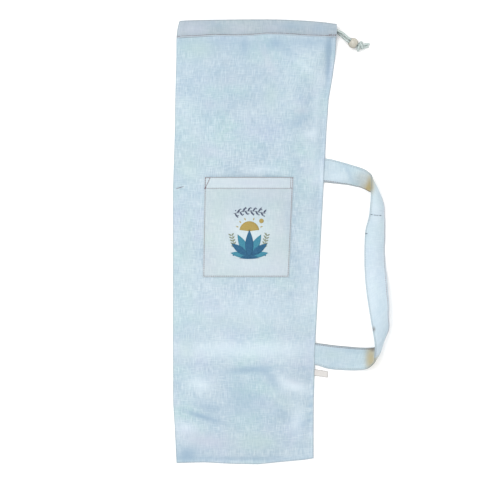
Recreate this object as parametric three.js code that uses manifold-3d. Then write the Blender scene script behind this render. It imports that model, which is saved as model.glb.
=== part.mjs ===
import * as THREE from 'three'
import { mergeVertices } from 'three/addons/utils/BufferGeometryUtils.js'
import Module from 'manifold-3d'

// A yoga mat bag of thin cloth, empty, lying on its back. Millimetres, X across the bag with the
// sewn side at +X, Y towards the mouth, Z up from the table.

const bagLength = 700
const bagWidth = 252
const clothThickness = 1
const clearance = 0.3

// Height of the front above the table, of the folded left edge, and of the folds pressed in it.
const frontHeight = 15
const foldHeight = 5
const reliefHeight = 2
// The front rises from its edges over this width, and towards the mouth over mouthRise.
const edgeRise = 70
const mouthRise = 120
const backRise = 45
const seamWidth = 7

const casingHeight = 22
const casingStitch = 3
const mouthGap = 5
const mouthEndGap = 0.6
const mouthFoldGap = 4

const cordDiameter = 4
const cordPlay = 0.5
const beadDiameter = 16

const pocketWidth = 139
const pocketHeight = 157
const pocketTaper = 6
const pocketFromMouth = 249
const pocketFromFold = 52
const pocketHem = 19
const pocketGape = 6.2
// The front lies smooth under the pocket and this far round it.
const pocketCalm = 40

const strapWidth = 38
const strapThickness = 2
const strapSpan = 289
const strapReach = 100
const strapCurl = 30
const strapFromBottom = 174
const strapTuck = 5

const labelLength = 21
const labelWidth = 10
const labelThickness = 0.8
const labelFromBottom = 146

// Outline of the bag: how far each side stands from the middle line, as shares of the width.
const outline = [
  { along: 0, left: 0.459, right: 0.397 },
  { along: 0.08, left: 0.469, right: 0.397 },
  { along: 0.14, left: 0.48, right: 0.398 },
  { along: 0.28, left: 0.481, right: 0.409 },
  { along: 0.35, left: 0.481, right: 0.419 },
  { along: 0.45, left: 0.481, right: 0.434 },
  { along: 0.62, left: 0.481, right: 0.459 },
  { along: 0.75, left: 0.469, right: 0.478 },
  { along: 0.82, left: 0.467, right: 0.491 },
  { along: 0.87, left: 0.463, right: 0.515 },
  { along: 0.92, left: 0.459, right: 0.534 },
  { along: 1, left: 0.457, right: 0.541 },
]

// Rise of the bottom edge, as a share of the width.
const bottomEdge = [
  { across: 0, rise: 0.008 },
  { across: 0.2, rise: 0.012 },
  { across: 0.42, rise: 0.002 },
  { across: 0.6, rise: 0 },
  { across: 0.76, rise: 0.014 },
  { across: 0.93, rise: 0.027 },
  { across: 1, rise: 0.036 },
]

// The casing at the mouth: how far its top and its stitched edge lie below the bag's full length,
// as shares of its height.
const mouthEdge = [
  { across: 0, top: 0.4, stitch: 1.25 },
  { across: 0.05, top: 0.12, stitch: 1.19 },
  { across: 0.14, top: 0.07, stitch: 1.12 },
  { across: 0.3, top: 0, stitch: 1.02 },
  { across: 0.67, top: 0, stitch: 1.02 },
  { across: 0.82, top: 0.13, stitch: 1.08 },
  { across: 0.93, top: 0.24, stitch: 1.14 },
  { across: 1, top: 0.37, stitch: 1.18 },
]

// Soft folds and hollows of the front. Places are shares of the bag's width and length, sizes are
// shares of its width, turn is in degrees from X, and height is a share of the relief.
const frontFolds = [
  { across: 0.4, along: 0.213, length: 0.3, width: 0.06, turn: 5, height: -0.8 },
  { across: 0.14, along: 0.11, length: 0.2, width: 0.05, turn: -19, height: -0.6 },
  { across: 0.75, along: 0.165, length: 0.18, width: 0.12, turn: 20, height: 0.9 },
  { across: 0.84, along: 0.1, length: 0.16, width: 0.05, turn: 28, height: -0.9 },
  { across: 0.86, along: 0.175, length: 0.14, width: 0.045, turn: -8, height: -0.8 },
  { across: 0.2, along: 0.3, length: 0.12, width: 0.2, turn: 60, height: 0.5 },
  { across: 0.93, along: 0.88, length: 0.3, width: 0.045, turn: 86, height: -1 },
  { across: 0.78, along: 0.8, length: 0.28, width: 0.07, turn: 118, height: 0.8 },
  { across: 0.6, along: 0.76, length: 0.3, width: 0.06, turn: 112, height: -0.7 },
  { across: 0.3, along: 0.82, length: 0.35, width: 0.08, turn: 84, height: 0.6 },
]

// The strap's sections, from the lower seam end to the upper one. Places are shares of its reach
// from the seam, of the span between its ends and of its curl's height. across is the vector from
// the strap's inner edge to its outer one as shares of its width, and arch bends the section.
const strapSections = [
  { out: 0, up: 0, lift: 0.077, acrossX: 0, acrossY: -0.9, acrossZ: 0, arch: 0 },
  { out: 0.22, up: -0.016, lift: 0.045, acrossX: 0, acrossY: -1, acrossZ: 0, arch: 0 },
  { out: 0.46, up: -0.024, lift: 0.045, acrossX: 0, acrossY: -0.99, acrossZ: 0, arch: 0 },
  { out: 0.7, up: -0.028, lift: 0.08, acrossX: -0.2, acrossY: -0.93, acrossZ: 0.05, arch: 0 },
  { out: 0.85, up: -0.024, lift: 0.175, acrossX: -0.2, acrossY: -0.87, acrossZ: 0.22, arch: 0.04 },
  { out: 0.95, up: -0.012, lift: 0.33, acrossX: -0.29, acrossY: -0.79, acrossZ: 0.42, arch: 0.06 },
  { out: 1.02, up: 0.012, lift: 0.5, acrossX: -0.38, acrossY: -0.77, acrossZ: 0.5, arch: 0.06 },
  { out: 1.04, up: 0.052, lift: 0.68, acrossX: -0.48, acrossY: -0.77, acrossZ: 0.45, arch: 0.05 },
  { out: 1.04, up: 0.1, lift: 0.78, acrossX: -0.55, acrossY: -0.78, acrossZ: 0.3, arch: 0.05 },
  { out: 1.03, up: 0.16, lift: 0.76, acrossX: -0.6, acrossY: -0.79, acrossZ: 0.1, arch: 0.05 },
  { out: 1, up: 0.226, lift: 0.63, acrossX: -0.71, acrossY: -0.69, acrossZ: -0.05, arch: 0.06 },
  { out: 0.963, up: 0.304, lift: 0.47, acrossX: -0.8, acrossY: -0.56, acrossZ: -0.13, arch: 0.08 },
  { out: 0.921, up: 0.39, lift: 0.29, acrossX: -0.86, acrossY: -0.3, acrossZ: -0.17, arch: 0.12 },
  { out: 0.89, up: 0.462, lift: 0.12, acrossX: -0.86, acrossY: -0.08, acrossZ: -0.05, arch: 0.18 },
  { out: 0.858, up: 0.554, lift: 0.045, acrossX: -0.84, acrossY: 0, acrossZ: 0, arch: 0.21 },
  { out: 0.85, up: 0.62, lift: 0.045, acrossX: -0.84, acrossY: 0, acrossZ: 0, arch: 0.21 },
  { out: 0.856, up: 0.682, lift: 0.12, acrossX: -0.83, acrossY: -0.03, acrossZ: -0.03, arch: 0.2 },
  { out: 0.867, up: 0.747, lift: 0.29, acrossX: -0.78, acrossY: -0.03, acrossZ: 0, arch: 0.18 },
  { out: 0.867, up: 0.804, lift: 0.47, acrossX: -0.72, acrossY: 0.13, acrossZ: 0.06, arch: 0.16 },
  { out: 0.862, up: 0.842, lift: 0.53, acrossX: -0.64, acrossY: 0.42, acrossZ: 0.21, arch: 0.12 },
  { out: 0.85, up: 0.87, lift: 0.545, acrossX: -0.54, acrossY: 0.68, acrossZ: 0.38, arch: 0.08 },
  { out: 0.83, up: 0.9, lift: 0.51, acrossX: -0.42, acrossY: 0.74, acrossZ: 0.5, arch: 0.04 },
  { out: 0.785, up: 0.919, lift: 0.47, acrossX: -0.26, acrossY: 0.76, acrossZ: 0.58, arch: 0 },
  { out: 0.71, up: 0.934, lift: 0.43, acrossX: -0.1, acrossY: 0.78, acrossZ: 0.6, arch: -0.04 },
  { out: 0.6, up: 0.952, lift: 0.35, acrossX: 0.03, acrossY: 0.81, acrossZ: 0.5, arch: -0.08 },
  { out: 0.43, up: 0.971, lift: 0.2, acrossX: 0.02, acrossY: 0.88, acrossZ: 0.27, arch: -0.12 },
  { out: 0.25, up: 0.986, lift: 0.09, acrossX: 0, acrossY: 0.95, acrossZ: 0.06, arch: -0.08 },
  { out: 0.1, up: 0.996, lift: 0.06, acrossX: 0, acrossY: 0.98, acrossZ: 0, arch: -0.02 },
  { out: 0, up: 1, lift: 0.077, acrossX: 0, acrossY: 0.98, acrossZ: 0, arch: 0 },
]

const colours = {
  chambray: 0xc7d9e5,
  casingChambray: 0xb9c6d2,
  cord: 0xc8d4d2,
  wood: 0xc9c3b2,
  label: 0xe6e3dc,
}

const lerp = THREE.MathUtils.lerp
const smooth = (value) => THREE.MathUtils.smoothstep(value, 0, 1)
const easeOut = (value) => 1 - (1 - THREE.MathUtils.clamp(value, 0, 1)) ** 2

// Value of one column of a table at a place, straight between its rows.
function readTable(table, key, place, column) {
  const last = table.length - 1
  const next = table.findIndex((row) => row[key] >= place)
  if (next === 0) return table[0][column]
  if (next < 0) return table[last][column]
  const low = table[next - 1]
  const high = table[next]
  return lerp(low[column], high[column], (place - low[key]) / (high[key] - low[key]))
}

// Outline

const leftEdge = (along) => -bagWidth * readTable(outline, 'along', along, 'left')
const rightEdge = (along) => bagWidth * readTable(outline, 'along', along, 'right')
const rightEdgeAt = (y) => rightEdge(y / bagLength)
const bottomLine = (across) => bagWidth * readTable(bottomEdge, 'across', across, 'rise')
const casingTop = (across) => bagLength - casingHeight * readTable(mouthEdge, 'across', across, 'top')
const stitchLine = (across) => bagLength - casingHeight * readTable(mouthEdge, 'across', across, 'stitch')
const rimLine = (across) => stitchLine(across) - clearance

const seamThickness = 2 * clothThickness + clearance
const casingThickness = cordDiameter + 2 * (clothThickness + cordPlay)
const backRun = casingThickness / 2
const mouthLeft = leftEdge(1)
const mouthRight = rightEdge(1)
const mouthTurn = (casingThickness + mouthFoldGap) / 2

// Height of the middle of the casing's front run, which is highest where the mouth gapes.
function frontRun(across) {
  const edge = across < 0.5 ? mouthFoldGap : mouthEndGap
  const gap = lerp(edge, mouthGap, Math.sin(Math.PI * across) ** 0.7)
  return backRun + casingThickness + gap
}

// A closed solid between two grids of points with the same rows and columns, the first one outside.
function sheetGeometry(outer, inner) {
  const rows = outer.length
  const columns = outer[0].length
  const positions = []
  const index = []
  const sides = [outer, inner]
  for (const side of sides) {
    for (const row of side) {
      for (const point of row) positions.push(point.x, point.y, point.z)
    }
  }
  const at = (side, row, column) => side * rows * columns + row * columns + column
  const quad = (a, b, c, d) => index.push(a, b, c, a, c, d)
  for (let row = 0; row < rows - 1; row++) {
    for (let column = 0; column < columns - 1; column++) {
      quad(at(0, row, column), at(0, row, column + 1), at(0, row + 1, column + 1), at(0, row + 1, column))
      quad(at(1, row, column), at(1, row + 1, column), at(1, row + 1, column + 1), at(1, row, column + 1))
    }
  }
  for (let row = 0; row < rows - 1; row++) {
    const end = columns - 1
    quad(at(0, row, 0), at(0, row + 1, 0), at(1, row + 1, 0), at(1, row, 0))
    quad(at(0, row, end), at(1, row, end), at(1, row + 1, end), at(0, row + 1, end))
  }
  for (let column = 0; column < columns - 1; column++) {
    const end = rows - 1
    quad(at(0, 0, column), at(1, 0, column), at(1, 0, column + 1), at(0, 0, column + 1))
    quad(at(0, end, column), at(0, end, column + 1), at(1, end, column + 1), at(1, end, column))
  }
  return closedGeometry(positions, index)
}

// A closed ring of sections, each a loop of points: an outer skin, an inner skin and two end rings.
function hollowGeometry(outerLoops, innerLoops) {
  const stations = outerLoops.length
  const count = outerLoops[0].length
  const positions = []
  const index = []
  for (const loops of [outerLoops, innerLoops]) {
    for (const loop of loops) {
      for (const point of loop) positions.push(point.x, point.y, point.z)
    }
  }
  const at = (skin, station, point) => skin * stations * count + station * count + (point % count)
  const quad = (a, b, c, d) => index.push(a, b, c, a, c, d)
  for (let station = 0; station < stations - 1; station++) {
    for (let i = 0; i < count; i++) {
      quad(at(0, station, i), at(0, station, i + 1), at(0, station + 1, i + 1), at(0, station + 1, i))
      quad(at(1, station, i), at(1, station + 1, i), at(1, station + 1, i + 1), at(1, station, i + 1))
    }
  }
  const end = stations - 1
  for (let i = 0; i < count; i++) {
    quad(at(0, 0, i), at(1, 0, i), at(1, 0, i + 1), at(0, 0, i + 1))
    quad(at(0, end, i), at(0, end, i + 1), at(1, end, i + 1), at(1, end, i))
  }
  return closedGeometry(positions, index)
}

// Merges shared points, drops triangles that closed up, and turns the faces outward.
function closedGeometry(positions, index) {
  const raw = new THREE.BufferGeometry()
  raw.setAttribute('position', new THREE.Float32BufferAttribute(positions, 3))
  raw.setIndex(index)
  const merged = mergeVertices(raw, 1e-4)
  const kept = []
  const corners = merged.index.array
  for (let i = 0; i < corners.length; i += 3) {
    const [a, b, c] = corners.slice(i, i + 3)
    if (a !== b && b !== c && c !== a) kept.push(a, b, c)
  }
  if (signedVolume(merged.attributes.position, kept) < 0) kept.reverse()
  merged.setIndex(kept)
  return merged
}

function signedVolume(position, index) {
  const a = new THREE.Vector3()
  const b = new THREE.Vector3()
  const c = new THREE.Vector3()
  let volume = 0
  for (let i = 0; i < index.length; i += 3) {
    a.fromBufferAttribute(position, index[i])
    b.fromBufferAttribute(position, index[i + 1])
    c.fromBufferAttribute(position, index[i + 2])
    volume += a.dot(b.cross(c)) / 6
  }
  return volume
}

const wasm = await Module()
wasm.setup()

function toSolid(geometry) {
  const bare = geometry.clone()
  bare.deleteAttribute('normal')
  bare.deleteAttribute('uv')
  const merged = mergeVertices(bare, 1e-4)
  return new wasm.Manifold(
    new wasm.Mesh({
      numProp: 3,
      vertProperties: new Float32Array(merged.attributes.position.array),
      triVerts: new Uint32Array(merged.index.array),
    }),
  )
}

function fromSolid(solid) {
  const mesh = solid.getMesh()
  const geometry = new THREE.BufferGeometry()
  geometry.setAttribute('position', new THREE.BufferAttribute(mesh.vertProperties, 3))
  geometry.setIndex(new THREE.BufferAttribute(mesh.triVerts, 1))
  return geometry
}

// Bag body

// Height that the folds and hollows add to the front.
function foldRelief(x, y, along) {
  let relief = 0
  for (const fold of frontFolds) {
    const turn = THREE.MathUtils.degToRad(fold.turn)
    const foldX = leftEdge(along) + fold.across * (rightEdge(along) - leftEdge(along))
    const dx = x - foldX
    const dy = y - fold.along * bagLength
    const run = (dx * Math.cos(turn) + dy * Math.sin(turn)) / (fold.length * bagWidth)
    const side = (dy * Math.cos(turn) - dx * Math.sin(turn)) / (fold.width * bagWidth)
    relief += fold.height * reliefHeight * Math.exp(-run * run - side * side)
  }
  return relief
}

// Heights of the bag's outside at a place: x and y, its share along, and distances from the fold
// and from the seam's inner edge.
function bagHeights(x, y, along, fromFold, fromSeam, across) {
  const nearMouth = smooth((y - (rimLine(across) - mouthRise)) / mouthRise)
  const backLift = smooth((y - (rimLine(across) - backRise)) / backRise)
  const fromBottom = easeOut((y - bottomLine(across) - seamWidth) / edgeRise)
  const pocketTop = bagLength - pocketFromMouth
  const fromPocket = Math.max(pocketTop - pocketHeight - y, y - pocketTop)
  const calm = smooth(fromPocket / pocketCalm)

  const mouthTurnHeight = 2 * mouthTurn + clothThickness
  const turnHeight = lerp(lerp(seamThickness, foldHeight, fromBottom), mouthTurnHeight, nearMouth)
  const lift = lerp(0, backRun - clothThickness / 2, backLift)
  const crown = lerp(frontHeight, frontRun(across) + clothThickness / 2, nearMouth)
  const seamLift = lerp(0, (backRun + frontRun(1) - seamThickness) / 2, backLift)

  const seamRise = lerp(edgeRise, seamWidth * 2, nearMouth)
  const rise = easeOut(fromSeam / seamRise)
  const spread = lerp(turnHeight + lift, crown, easeOut((fromFold - turnHeight / 2) / edgeRise))
  const relief = foldRelief(x, y, along) * calm * smooth(fromFold / edgeRise) * rise * fromBottom
  const seamTop = seamLift + seamThickness
  const top = lerp(seamTop, spread + relief * (1 - nearMouth), rise * lerp(fromBottom, 1, nearMouth))
  const bottom = lerp(seamLift, lift, easeOut(fromSeam / (seamWidth * 2)))
  return { top, bottom, turnHeight, lift }
}

// Steps near an edge, as shares of the rise, and the number of steps between two edges.
const edgeSteps = [0, 0.14, 0.32, 0.58]
const foldSteps = 4
const widthSteps = 7
const lengthSteps = 15

// Rows and columns of points over the bag. wall is taken off the skin, and the insets off the edges.
function bagSkin(wall, seamInset, bottomInset, mouthOvershoot) {
  const outer = []
  const inner = []
  const lengthShares = []
  for (const step of edgeSteps) lengthShares.push((step * edgeRise) / bagLength)
  for (let i = 0; i <= lengthSteps; i++) {
    lengthShares.push(lerp(edgeRise / bagLength, 1 - edgeRise / bagLength, i / lengthSteps))
  }
  for (const step of edgeSteps.toReversed()) lengthShares.push(1 - (step * edgeRise) / bagLength)
  lengthShares.forEach((share, row) => {
    const outerRow = []
    const innerRow = []
    const isMouth = row === lengthShares.length - 1
    const place = (distanceShare, fold) => {
      const guess = share * rimLine(distanceShare)
      const along = guess / bagLength
      const left = leftEdge(along) + wall
      const right = rightEdge(along) - seamInset
      const startY = bottomLine(distanceShare) + bottomInset
      const y = lerp(startY, rimLine(distanceShare), share)
      const width = rightEdge(along) - leftEdge(along)
      const turn = bagHeights(left, y, along, 0, width, distanceShare)
      const radius = turn.turnHeight / 2 - wall
      const x = fold === null
        ? lerp(left + radius, right, distanceShare)
        : left + radius * (1 - Math.cos(fold))
      const fromFold = x - leftEdge(along)
      const fromSeam = rightEdge(along) - seamWidth - x
      const across = fromFold / width
      const heights = bagHeights(x, y, along, fromFold, fromSeam, across)
      const middle = heights.lift + heights.turnHeight / 2
      const top = fold === null ? heights.top - wall : middle + radius * Math.sin(fold)
      const bottom = fold === null ? heights.bottom + wall : middle - radius * Math.sin(fold)
      const end = isMouth ? y + mouthOvershoot : y
      outerRow.push(new THREE.Vector3(x, end, top))
      innerRow.push(new THREE.Vector3(x, end, bottom))
    }
    for (let i = 0; i < foldSteps; i++) place(0, (Math.PI / 2) * (i / foldSteps))
    const edgeShare = edgeRise / bagWidth
    for (const step of edgeSteps) place(step * edgeShare, null)
    for (let i = 0; i <= widthSteps; i++) place(lerp(edgeShare, 1 - edgeShare, i / widthSteps), null)
    for (const step of edgeSteps.toReversed()) place(1 - step * edgeShare, null)
    outer.push(outerRow)
    inner.push(innerRow)
  })
  return sheetGeometry(outer, inner)
}

// The raised stack of cloth where something is sewn into the seam, and the slot that holds it.
function tuckPad(centreY, width, height) {
  const outer = []
  const inner = []
  const margin = 2 * seamWidth
  const ySteps = [-1, -0.8, 0, 0.8, 1]
  const xSteps = [0, 0.5, 1]
  for (const yStep of ySteps) {
    const outerRow = []
    const innerRow = []
    const y = centreY + yStep * (width / 2 + margin)
    for (const xStep of xSteps) {
      const flat = Math.abs(yStep) < 1 && xStep < 1
      const x = rightEdgeAt(y) - xStep * margin
      outerRow.push(new THREE.Vector3(x, y, flat ? height : clothThickness))
      innerRow.push(new THREE.Vector3(x, y, 0))
    }
    outer.push(outerRow)
    inner.push(innerRow)
  }
  return sheetGeometry(outer, inner)
}

function tuckSlot(centreY, width, thickness, depth) {
  const reach = depth + clearance
  const slot = new THREE.BoxGeometry(2 * reach, width + 2 * clearance, thickness + 2 * clearance)
  const middle = clothThickness + clearance + thickness / 2
  slot.translate(rightEdgeAt(centreY), centreY, middle)
  return slot
}

function makeBody() {
  const tucks = [
    { y: strapFromBottom, width: strapWidth, thickness: strapThickness },
    { y: strapFromBottom + strapSpan, width: strapWidth, thickness: strapThickness },
    { y: labelFromBottom, width: labelWidth, thickness: labelThickness },
  ]
  let solid = toSolid(bagSkin(0, 0, 0, 0))
  for (const tuck of tucks) {
    const height = 2 * (clothThickness + clearance) + tuck.thickness
    solid = solid.add(toSolid(tuckPad(tuck.y, tuck.width, height)))
  }
  solid = solid.subtract(toSolid(bagSkin(clothThickness, seamWidth, seamWidth, 2 * clearance)))
  for (const tuck of tucks) {
    solid = solid.subtract(toSolid(tuckSlot(tuck.y, tuck.width, tuck.thickness, strapTuck)))
  }
  return fromSolid(solid)
}

// Casing and the cord in it

// The casing's middle line: along the front, round the fold and back, with its outward direction.
function casingStations() {
  const shares = [1, 0.93, 0.82, 0.67, 0.5, 0.3, 0.14]
  const turnSteps = 6
  const stations = []
  const turnX = mouthLeft + clothThickness / 2 + mouthTurn
  const width = mouthRight - mouthLeft
  for (const share of shares) {
    stations.push({ x: mouthLeft + share * width, z: frontRun(share), outX: 0, outZ: 1 })
  }
  for (let i = 0; i <= turnSteps; i++) {
    const angle = Math.PI * (i / turnSteps)
    const outX = -Math.sin(angle)
    const outZ = Math.cos(angle)
    stations.push({ x: turnX + mouthTurn * outX, z: backRun + mouthTurn * (1 + outZ), outX, outZ })
  }
  for (const share of shares.toReversed()) {
    stations.push({ x: mouthLeft + share * width, z: backRun, outX: 0, outZ: -1 })
  }
  for (const station of stations) {
    const across = (station.x - mouthLeft) / width
    station.low = stitchLine(across)
    station.high = casingTop(across)
  }
  return stations
}

// One loop round the casing's lens-shaped section, between two edges and of two thicknesses.
function casingLoop(station, lowInset, highInset, edgeHalf, middleHalf) {
  const shares = [0, 0.12, 0.32, 0.5, 0.68, 0.88, 1]
  const low = station.low + lowInset
  const high = station.high - highInset
  const half = (share) => edgeHalf + (middleHalf - edgeHalf) * Math.sin(Math.PI * share)
  const point = (share, side) => new THREE.Vector3(
    station.x + side * half(share) * station.outX,
    lerp(low, high, share),
    station.z + side * half(share) * station.outZ,
  )
  const outside = shares.map((share) => point(share, 1))
  const inside = shares.toReversed().map((share) => point(share, -1))
  return [...outside, ...inside]
}

function makeCasing() {
  const stations = casingStations()
  const outerHalf = casingThickness / 2
  const innerHalf = outerHalf - clothThickness
  const outer = stations.map((station) => casingLoop(station, 0, 0, clothThickness, outerHalf))
  const inner = stations.map((station) => {
    return casingLoop(station, casingStitch, clothThickness, clearance, innerHalf)
  })
  return hollowGeometry(outer, inner)
}

// A curve through stations that is stepped evenly from point to point, so turns keep their points.
class StationCurve extends THREE.CatmullRomCurve3 {
  getUtoTmapping(share) {
    return share
  }
}

function tubeGeometry(points, steps, radius, sides) {
  const section = new THREE.Shape()
  for (let i = 0; i < sides; i++) {
    const angle = (2 * Math.PI * i) / sides
    const x = radius * Math.cos(angle)
    const y = radius * Math.sin(angle)
    if (i === 0) section.moveTo(x, y)
    else section.lineTo(x, y)
  }
  section.closePath()
  return new THREE.ExtrudeGeometry(section, { steps, extrudePath: new StationCurve(points) })
}

const cordRadius = cordDiameter / 2
const cordSides = 8
const cordInset = cordRadius

function casingMiddle(station) {
  return (station.low + casingStitch + station.high - clothThickness) / 2
}

function makeHeldCord() {
  const stations = casingStations()
  const points = stations.map((station) => {
    return new THREE.Vector3(station.x, casingMiddle(station), station.z)
  })
  points[0].x -= cordInset + clearance
  points[points.length - 1].x -= cordInset + clearance
  return tubeGeometry(points, points.length - 1, cordRadius, cordSides)
}

// Free cord ends, bead and knot

const mouthMiddle = casingMiddle(casingStations()[0])
const cordStart = mouthRight - cordInset + clearance
const strandSpacing = cordRadius + clearance / 2
const beadAim = new THREE.Vector3(0.83, -0.53, -0.17).normalize()
const strandSide = new THREE.Vector3(0.53, 0.83, 0).normalize()
const beadRadius = beadDiameter / 2
const beadCentre = new THREE.Vector3(mouthRight + 26.7, mouthMiddle - 17.9, beadRadius)
const knotHalf = 1.3 * cordDiameter
const knotCentre = beadCentre.clone().addScaledVector(beadAim, beadRadius + 1.5 * cordDiameter)
knotCentre.z = knotHalf

// Where a strand lies in the bead, this far along its bore from the middle, on either side of it.
function inBead(along, side) {
  return beadCentre.clone().addScaledVector(beadAim, along).addScaledVector(strandSide, side * strandSpacing)
}

// Route of each strand from the casing's end through the bead to the knot, chosen by hand.
const upperRoute = [
  new THREE.Vector3(cordStart, mouthMiddle, frontRun(1)),
  new THREE.Vector3(mouthRight + 1, mouthMiddle, frontRun(1)),
  new THREE.Vector3(mouthRight + 5, mouthMiddle - 1.8, frontRun(1) - 0.2),
  new THREE.Vector3(mouthRight + 11, mouthMiddle - 5.4, 10.2),
  inBead(-beadRadius - 4, 1),
  inBead(-beadRadius + 1, 1),
  inBead(0, 1),
  inBead(beadRadius + 0.4, 1),
]
const lowerRoute = [
  new THREE.Vector3(cordStart, mouthMiddle - 1, backRun),
  new THREE.Vector3(mouthRight + 0.6, mouthMiddle - 1, backRun),
  new THREE.Vector3(mouthRight + 4.4, mouthMiddle - 4.4, backRun + 0.6),
  new THREE.Vector3(mouthRight + 9.6, mouthMiddle - 9.2, 6),
  inBead(-beadRadius - 4, -1),
  inBead(-beadRadius + 1, -1),
  inBead(0, -1),
  inBead(beadRadius - 0.6, -1),
]

const strandSteps = 21

function makeBead() {
  const bore = cordDiameter + 1.5 * clearance
  const profile = []
  const steps = 8
  const start = Math.acos(bore / beadRadius)
  for (let i = 0; i <= steps; i++) {
    const angle = lerp(-start, start, i / steps)
    profile.push(new THREE.Vector2(beadRadius * Math.cos(angle), beadRadius * Math.sin(angle)))
  }
  profile.push(profile[0].clone())
  const geometry = new THREE.LatheGeometry(profile, 16)
  const turn = new THREE.Quaternion().setFromUnitVectors(new THREE.Vector3(0, 1, 0), beadAim)
  geometry.applyQuaternion(turn)
  geometry.translate(beadCentre.x, beadCentre.y, beadCentre.z)
  return geometry
}

// The knot's two turns of cord and two short tails, as shares of the cord's diameter. turn is in
// degrees round Z.
const knotTurns = [
  { x: -0.6, y: -0.4, turn: -18 },
  { x: 0.6, y: 0.4, turn: 18 },
]
const knotTails = [
  { side: 0.52, height: 1, reach: 4.2 },
  { side: -0.52, height: 0.65, reach: 3.7 },
]

function makeKnot() {
  const d = cordDiameter
  const core = new THREE.SphereGeometry(1, 12, 8)
  core.scale(1.65 * d, knotHalf, knotHalf)
  core.translate(knotCentre.x, knotCentre.y, knotCentre.z)
  let solid = toSolid(core)
  for (const row of knotTurns) {
    const wrap = new THREE.TorusGeometry(d, 0.47 * d, 6, 12)
    wrap.rotateY(Math.PI / 2)
    wrap.rotateZ(THREE.MathUtils.degToRad(row.turn))
    wrap.scale(1, 1.25, 0.87)
    wrap.translate(knotCentre.x + row.x * d, knotCentre.y + row.y * d, knotCentre.z)
    solid = solid.add(toSolid(wrap))
  }
  for (const tail of knotTails) {
    const along = (x, y, z) => new THREE.Vector3(knotCentre.x + x * d, knotCentre.y + y * d, z * d)
    const route = [
      along(0.5, tail.side * 0.6, 1.3),
      along(1.6, tail.side + 0.25, tail.height + 0.15),
      along(2.8, tail.side + 0.5, tail.height),
      along(tail.reach, tail.side + 0.55, tail.height),
    ]
    solid = solid.add(toSolid(tubeGeometry(route, 6, cordRadius, cordSides)))
  }
  // Both strands run into the knot, and each free end keeps its clearance from it.
  for (const route of [upperRoute, lowerRoute]) {
    const end = route[route.length - 1]
    const inKnot = tubeGeometry([end.clone(), knotCentre.clone()], 1, cordRadius, cordSides)
    solid = solid.add(toSolid(inKnot))
  }
  for (const route of [upperRoute, lowerRoute]) {
    const end = route[route.length - 1]
    const room = [route[route.length - 3], end.clone().addScaledVector(beadAim, clearance)]
    solid = solid.subtract(toSolid(tubeGeometry(room, 1, cordRadius + clearance, cordSides)))
  }
  return fromSolid(solid)
}

// Pocket

function makePocket() {
  const outer = []
  const inner = []
  const left = leftEdge(0.5) + pocketFromFold
  const top = bagLength - pocketFromMouth
  const upShares = [0, 0.04, 0.12, 0.25, 0.4, 0.56, 0.72, 1 - pocketHem / pocketHeight]
  const hemLip = clearance / pocketHeight
  upShares.push(upShares[upShares.length - 1] + hemLip, 1)
  const acrossShares = [0, 0.04, 0.12, 0.25, 0.42, 0.58, 0.75, 0.88, 0.96, 1]
  upShares.forEach((up, row) => {
    const outerRow = []
    const innerRow = []
    const isHem = row >= upShares.length - 2
    const thickness = isHem ? 2 * clothThickness : clothThickness
    const y = top - (1 - up) * pocketHeight
    const rowWidth = pocketWidth - pocketTaper * (1 - up)
    for (const across of acrossShares) {
      const x = left + across * rowWidth
      const along = y / bagLength
      const fromFold = x - leftEdge(along)
      const fromSeam = rightEdge(along) - seamWidth - x
      const width = rightEdge(along) - leftEdge(along)
      const front = bagHeights(x, y, along, fromFold, fromSeam, fromFold / width).top
      const arch = Math.sin(Math.PI * THREE.MathUtils.clamp((across - 0.04) / 0.92, 0, 1)) ** 0.6
      const open = 1 - (1 - THREE.MathUtils.clamp((up - 0.04) / 0.96, 0, 1)) ** 3
      const under = front + 1.5 * clearance + pocketGape * arch * open
      outerRow.push(new THREE.Vector3(x, y, under + thickness))
      innerRow.push(new THREE.Vector3(x, y, under))
    }
    outer.push(outerRow)
    inner.push(innerRow)
  })
  return sheetGeometry(outer, inner)
}

// Strap

function makeStrap() {
  const centres = []
  const spreads = []
  const arches = []
  const addSection = (section, x) => {
    const y = strapFromBottom + section.up * strapSpan
    const z = Math.max(section.lift * strapCurl, strapThickness / 2 + clearance / 3)
    centres.push(new THREE.Vector3(x, y, z))
    const spread = new THREE.Vector3(section.acrossX, section.acrossY, section.acrossZ)
    spreads.push(spread.multiplyScalar(strapWidth))
    arches.push(new THREE.Vector3(section.arch * strapWidth, 0, 0))
  }
  const first = strapSections[0]
  const last = strapSections[strapSections.length - 1]
  const seamX = (section) => rightEdgeAt(strapFromBottom + section.up * strapSpan)
  addSection(first, seamX(first) - strapTuck)
  for (const section of strapSections) addSection(section, seamX(section) + section.out * strapReach)
  addSection(last, seamX(last) - strapTuck)

  const centreCurve = new StationCurve(centres)
  const spreadCurve = new StationCurve(spreads)
  const archCurve = new StationCurve(arches)
  const steps = 2 * (centres.length - 1)
  const widthSteps = 6
  const outer = []
  const inner = []
  for (let i = 0; i <= steps; i++) {
    const t = i / steps
    const centre = centreCurve.getPoint(t)
    const spread = spreadCurve.getPoint(t)
    const arch = archCurve.getPoint(t).x
    const normal = centreCurve.getTangent(t).cross(spread).normalize()
    const outerRow = []
    const innerRow = []
    for (let j = 0; j <= widthSteps; j++) {
      const across = j / widthSteps - 0.5
      const bow = arch * (1 - 4 * across * across)
      const slope = (-8 * arch * across) / spread.length()
      const side = spread.clone().normalize()
      const up = normal.clone().addScaledVector(side, -slope).normalize()
      const point = centre.clone().addScaledVector(spread, across).addScaledVector(normal, bow)
      outerRow.push(point.clone().addScaledVector(up, strapThickness / 2))
      innerRow.push(point.clone().addScaledVector(up, -strapThickness / 2))
    }
    outer.push(outerRow)
    inner.push(innerRow)
  }
  return sheetGeometry(outer, inner)
}

// Side label

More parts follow.
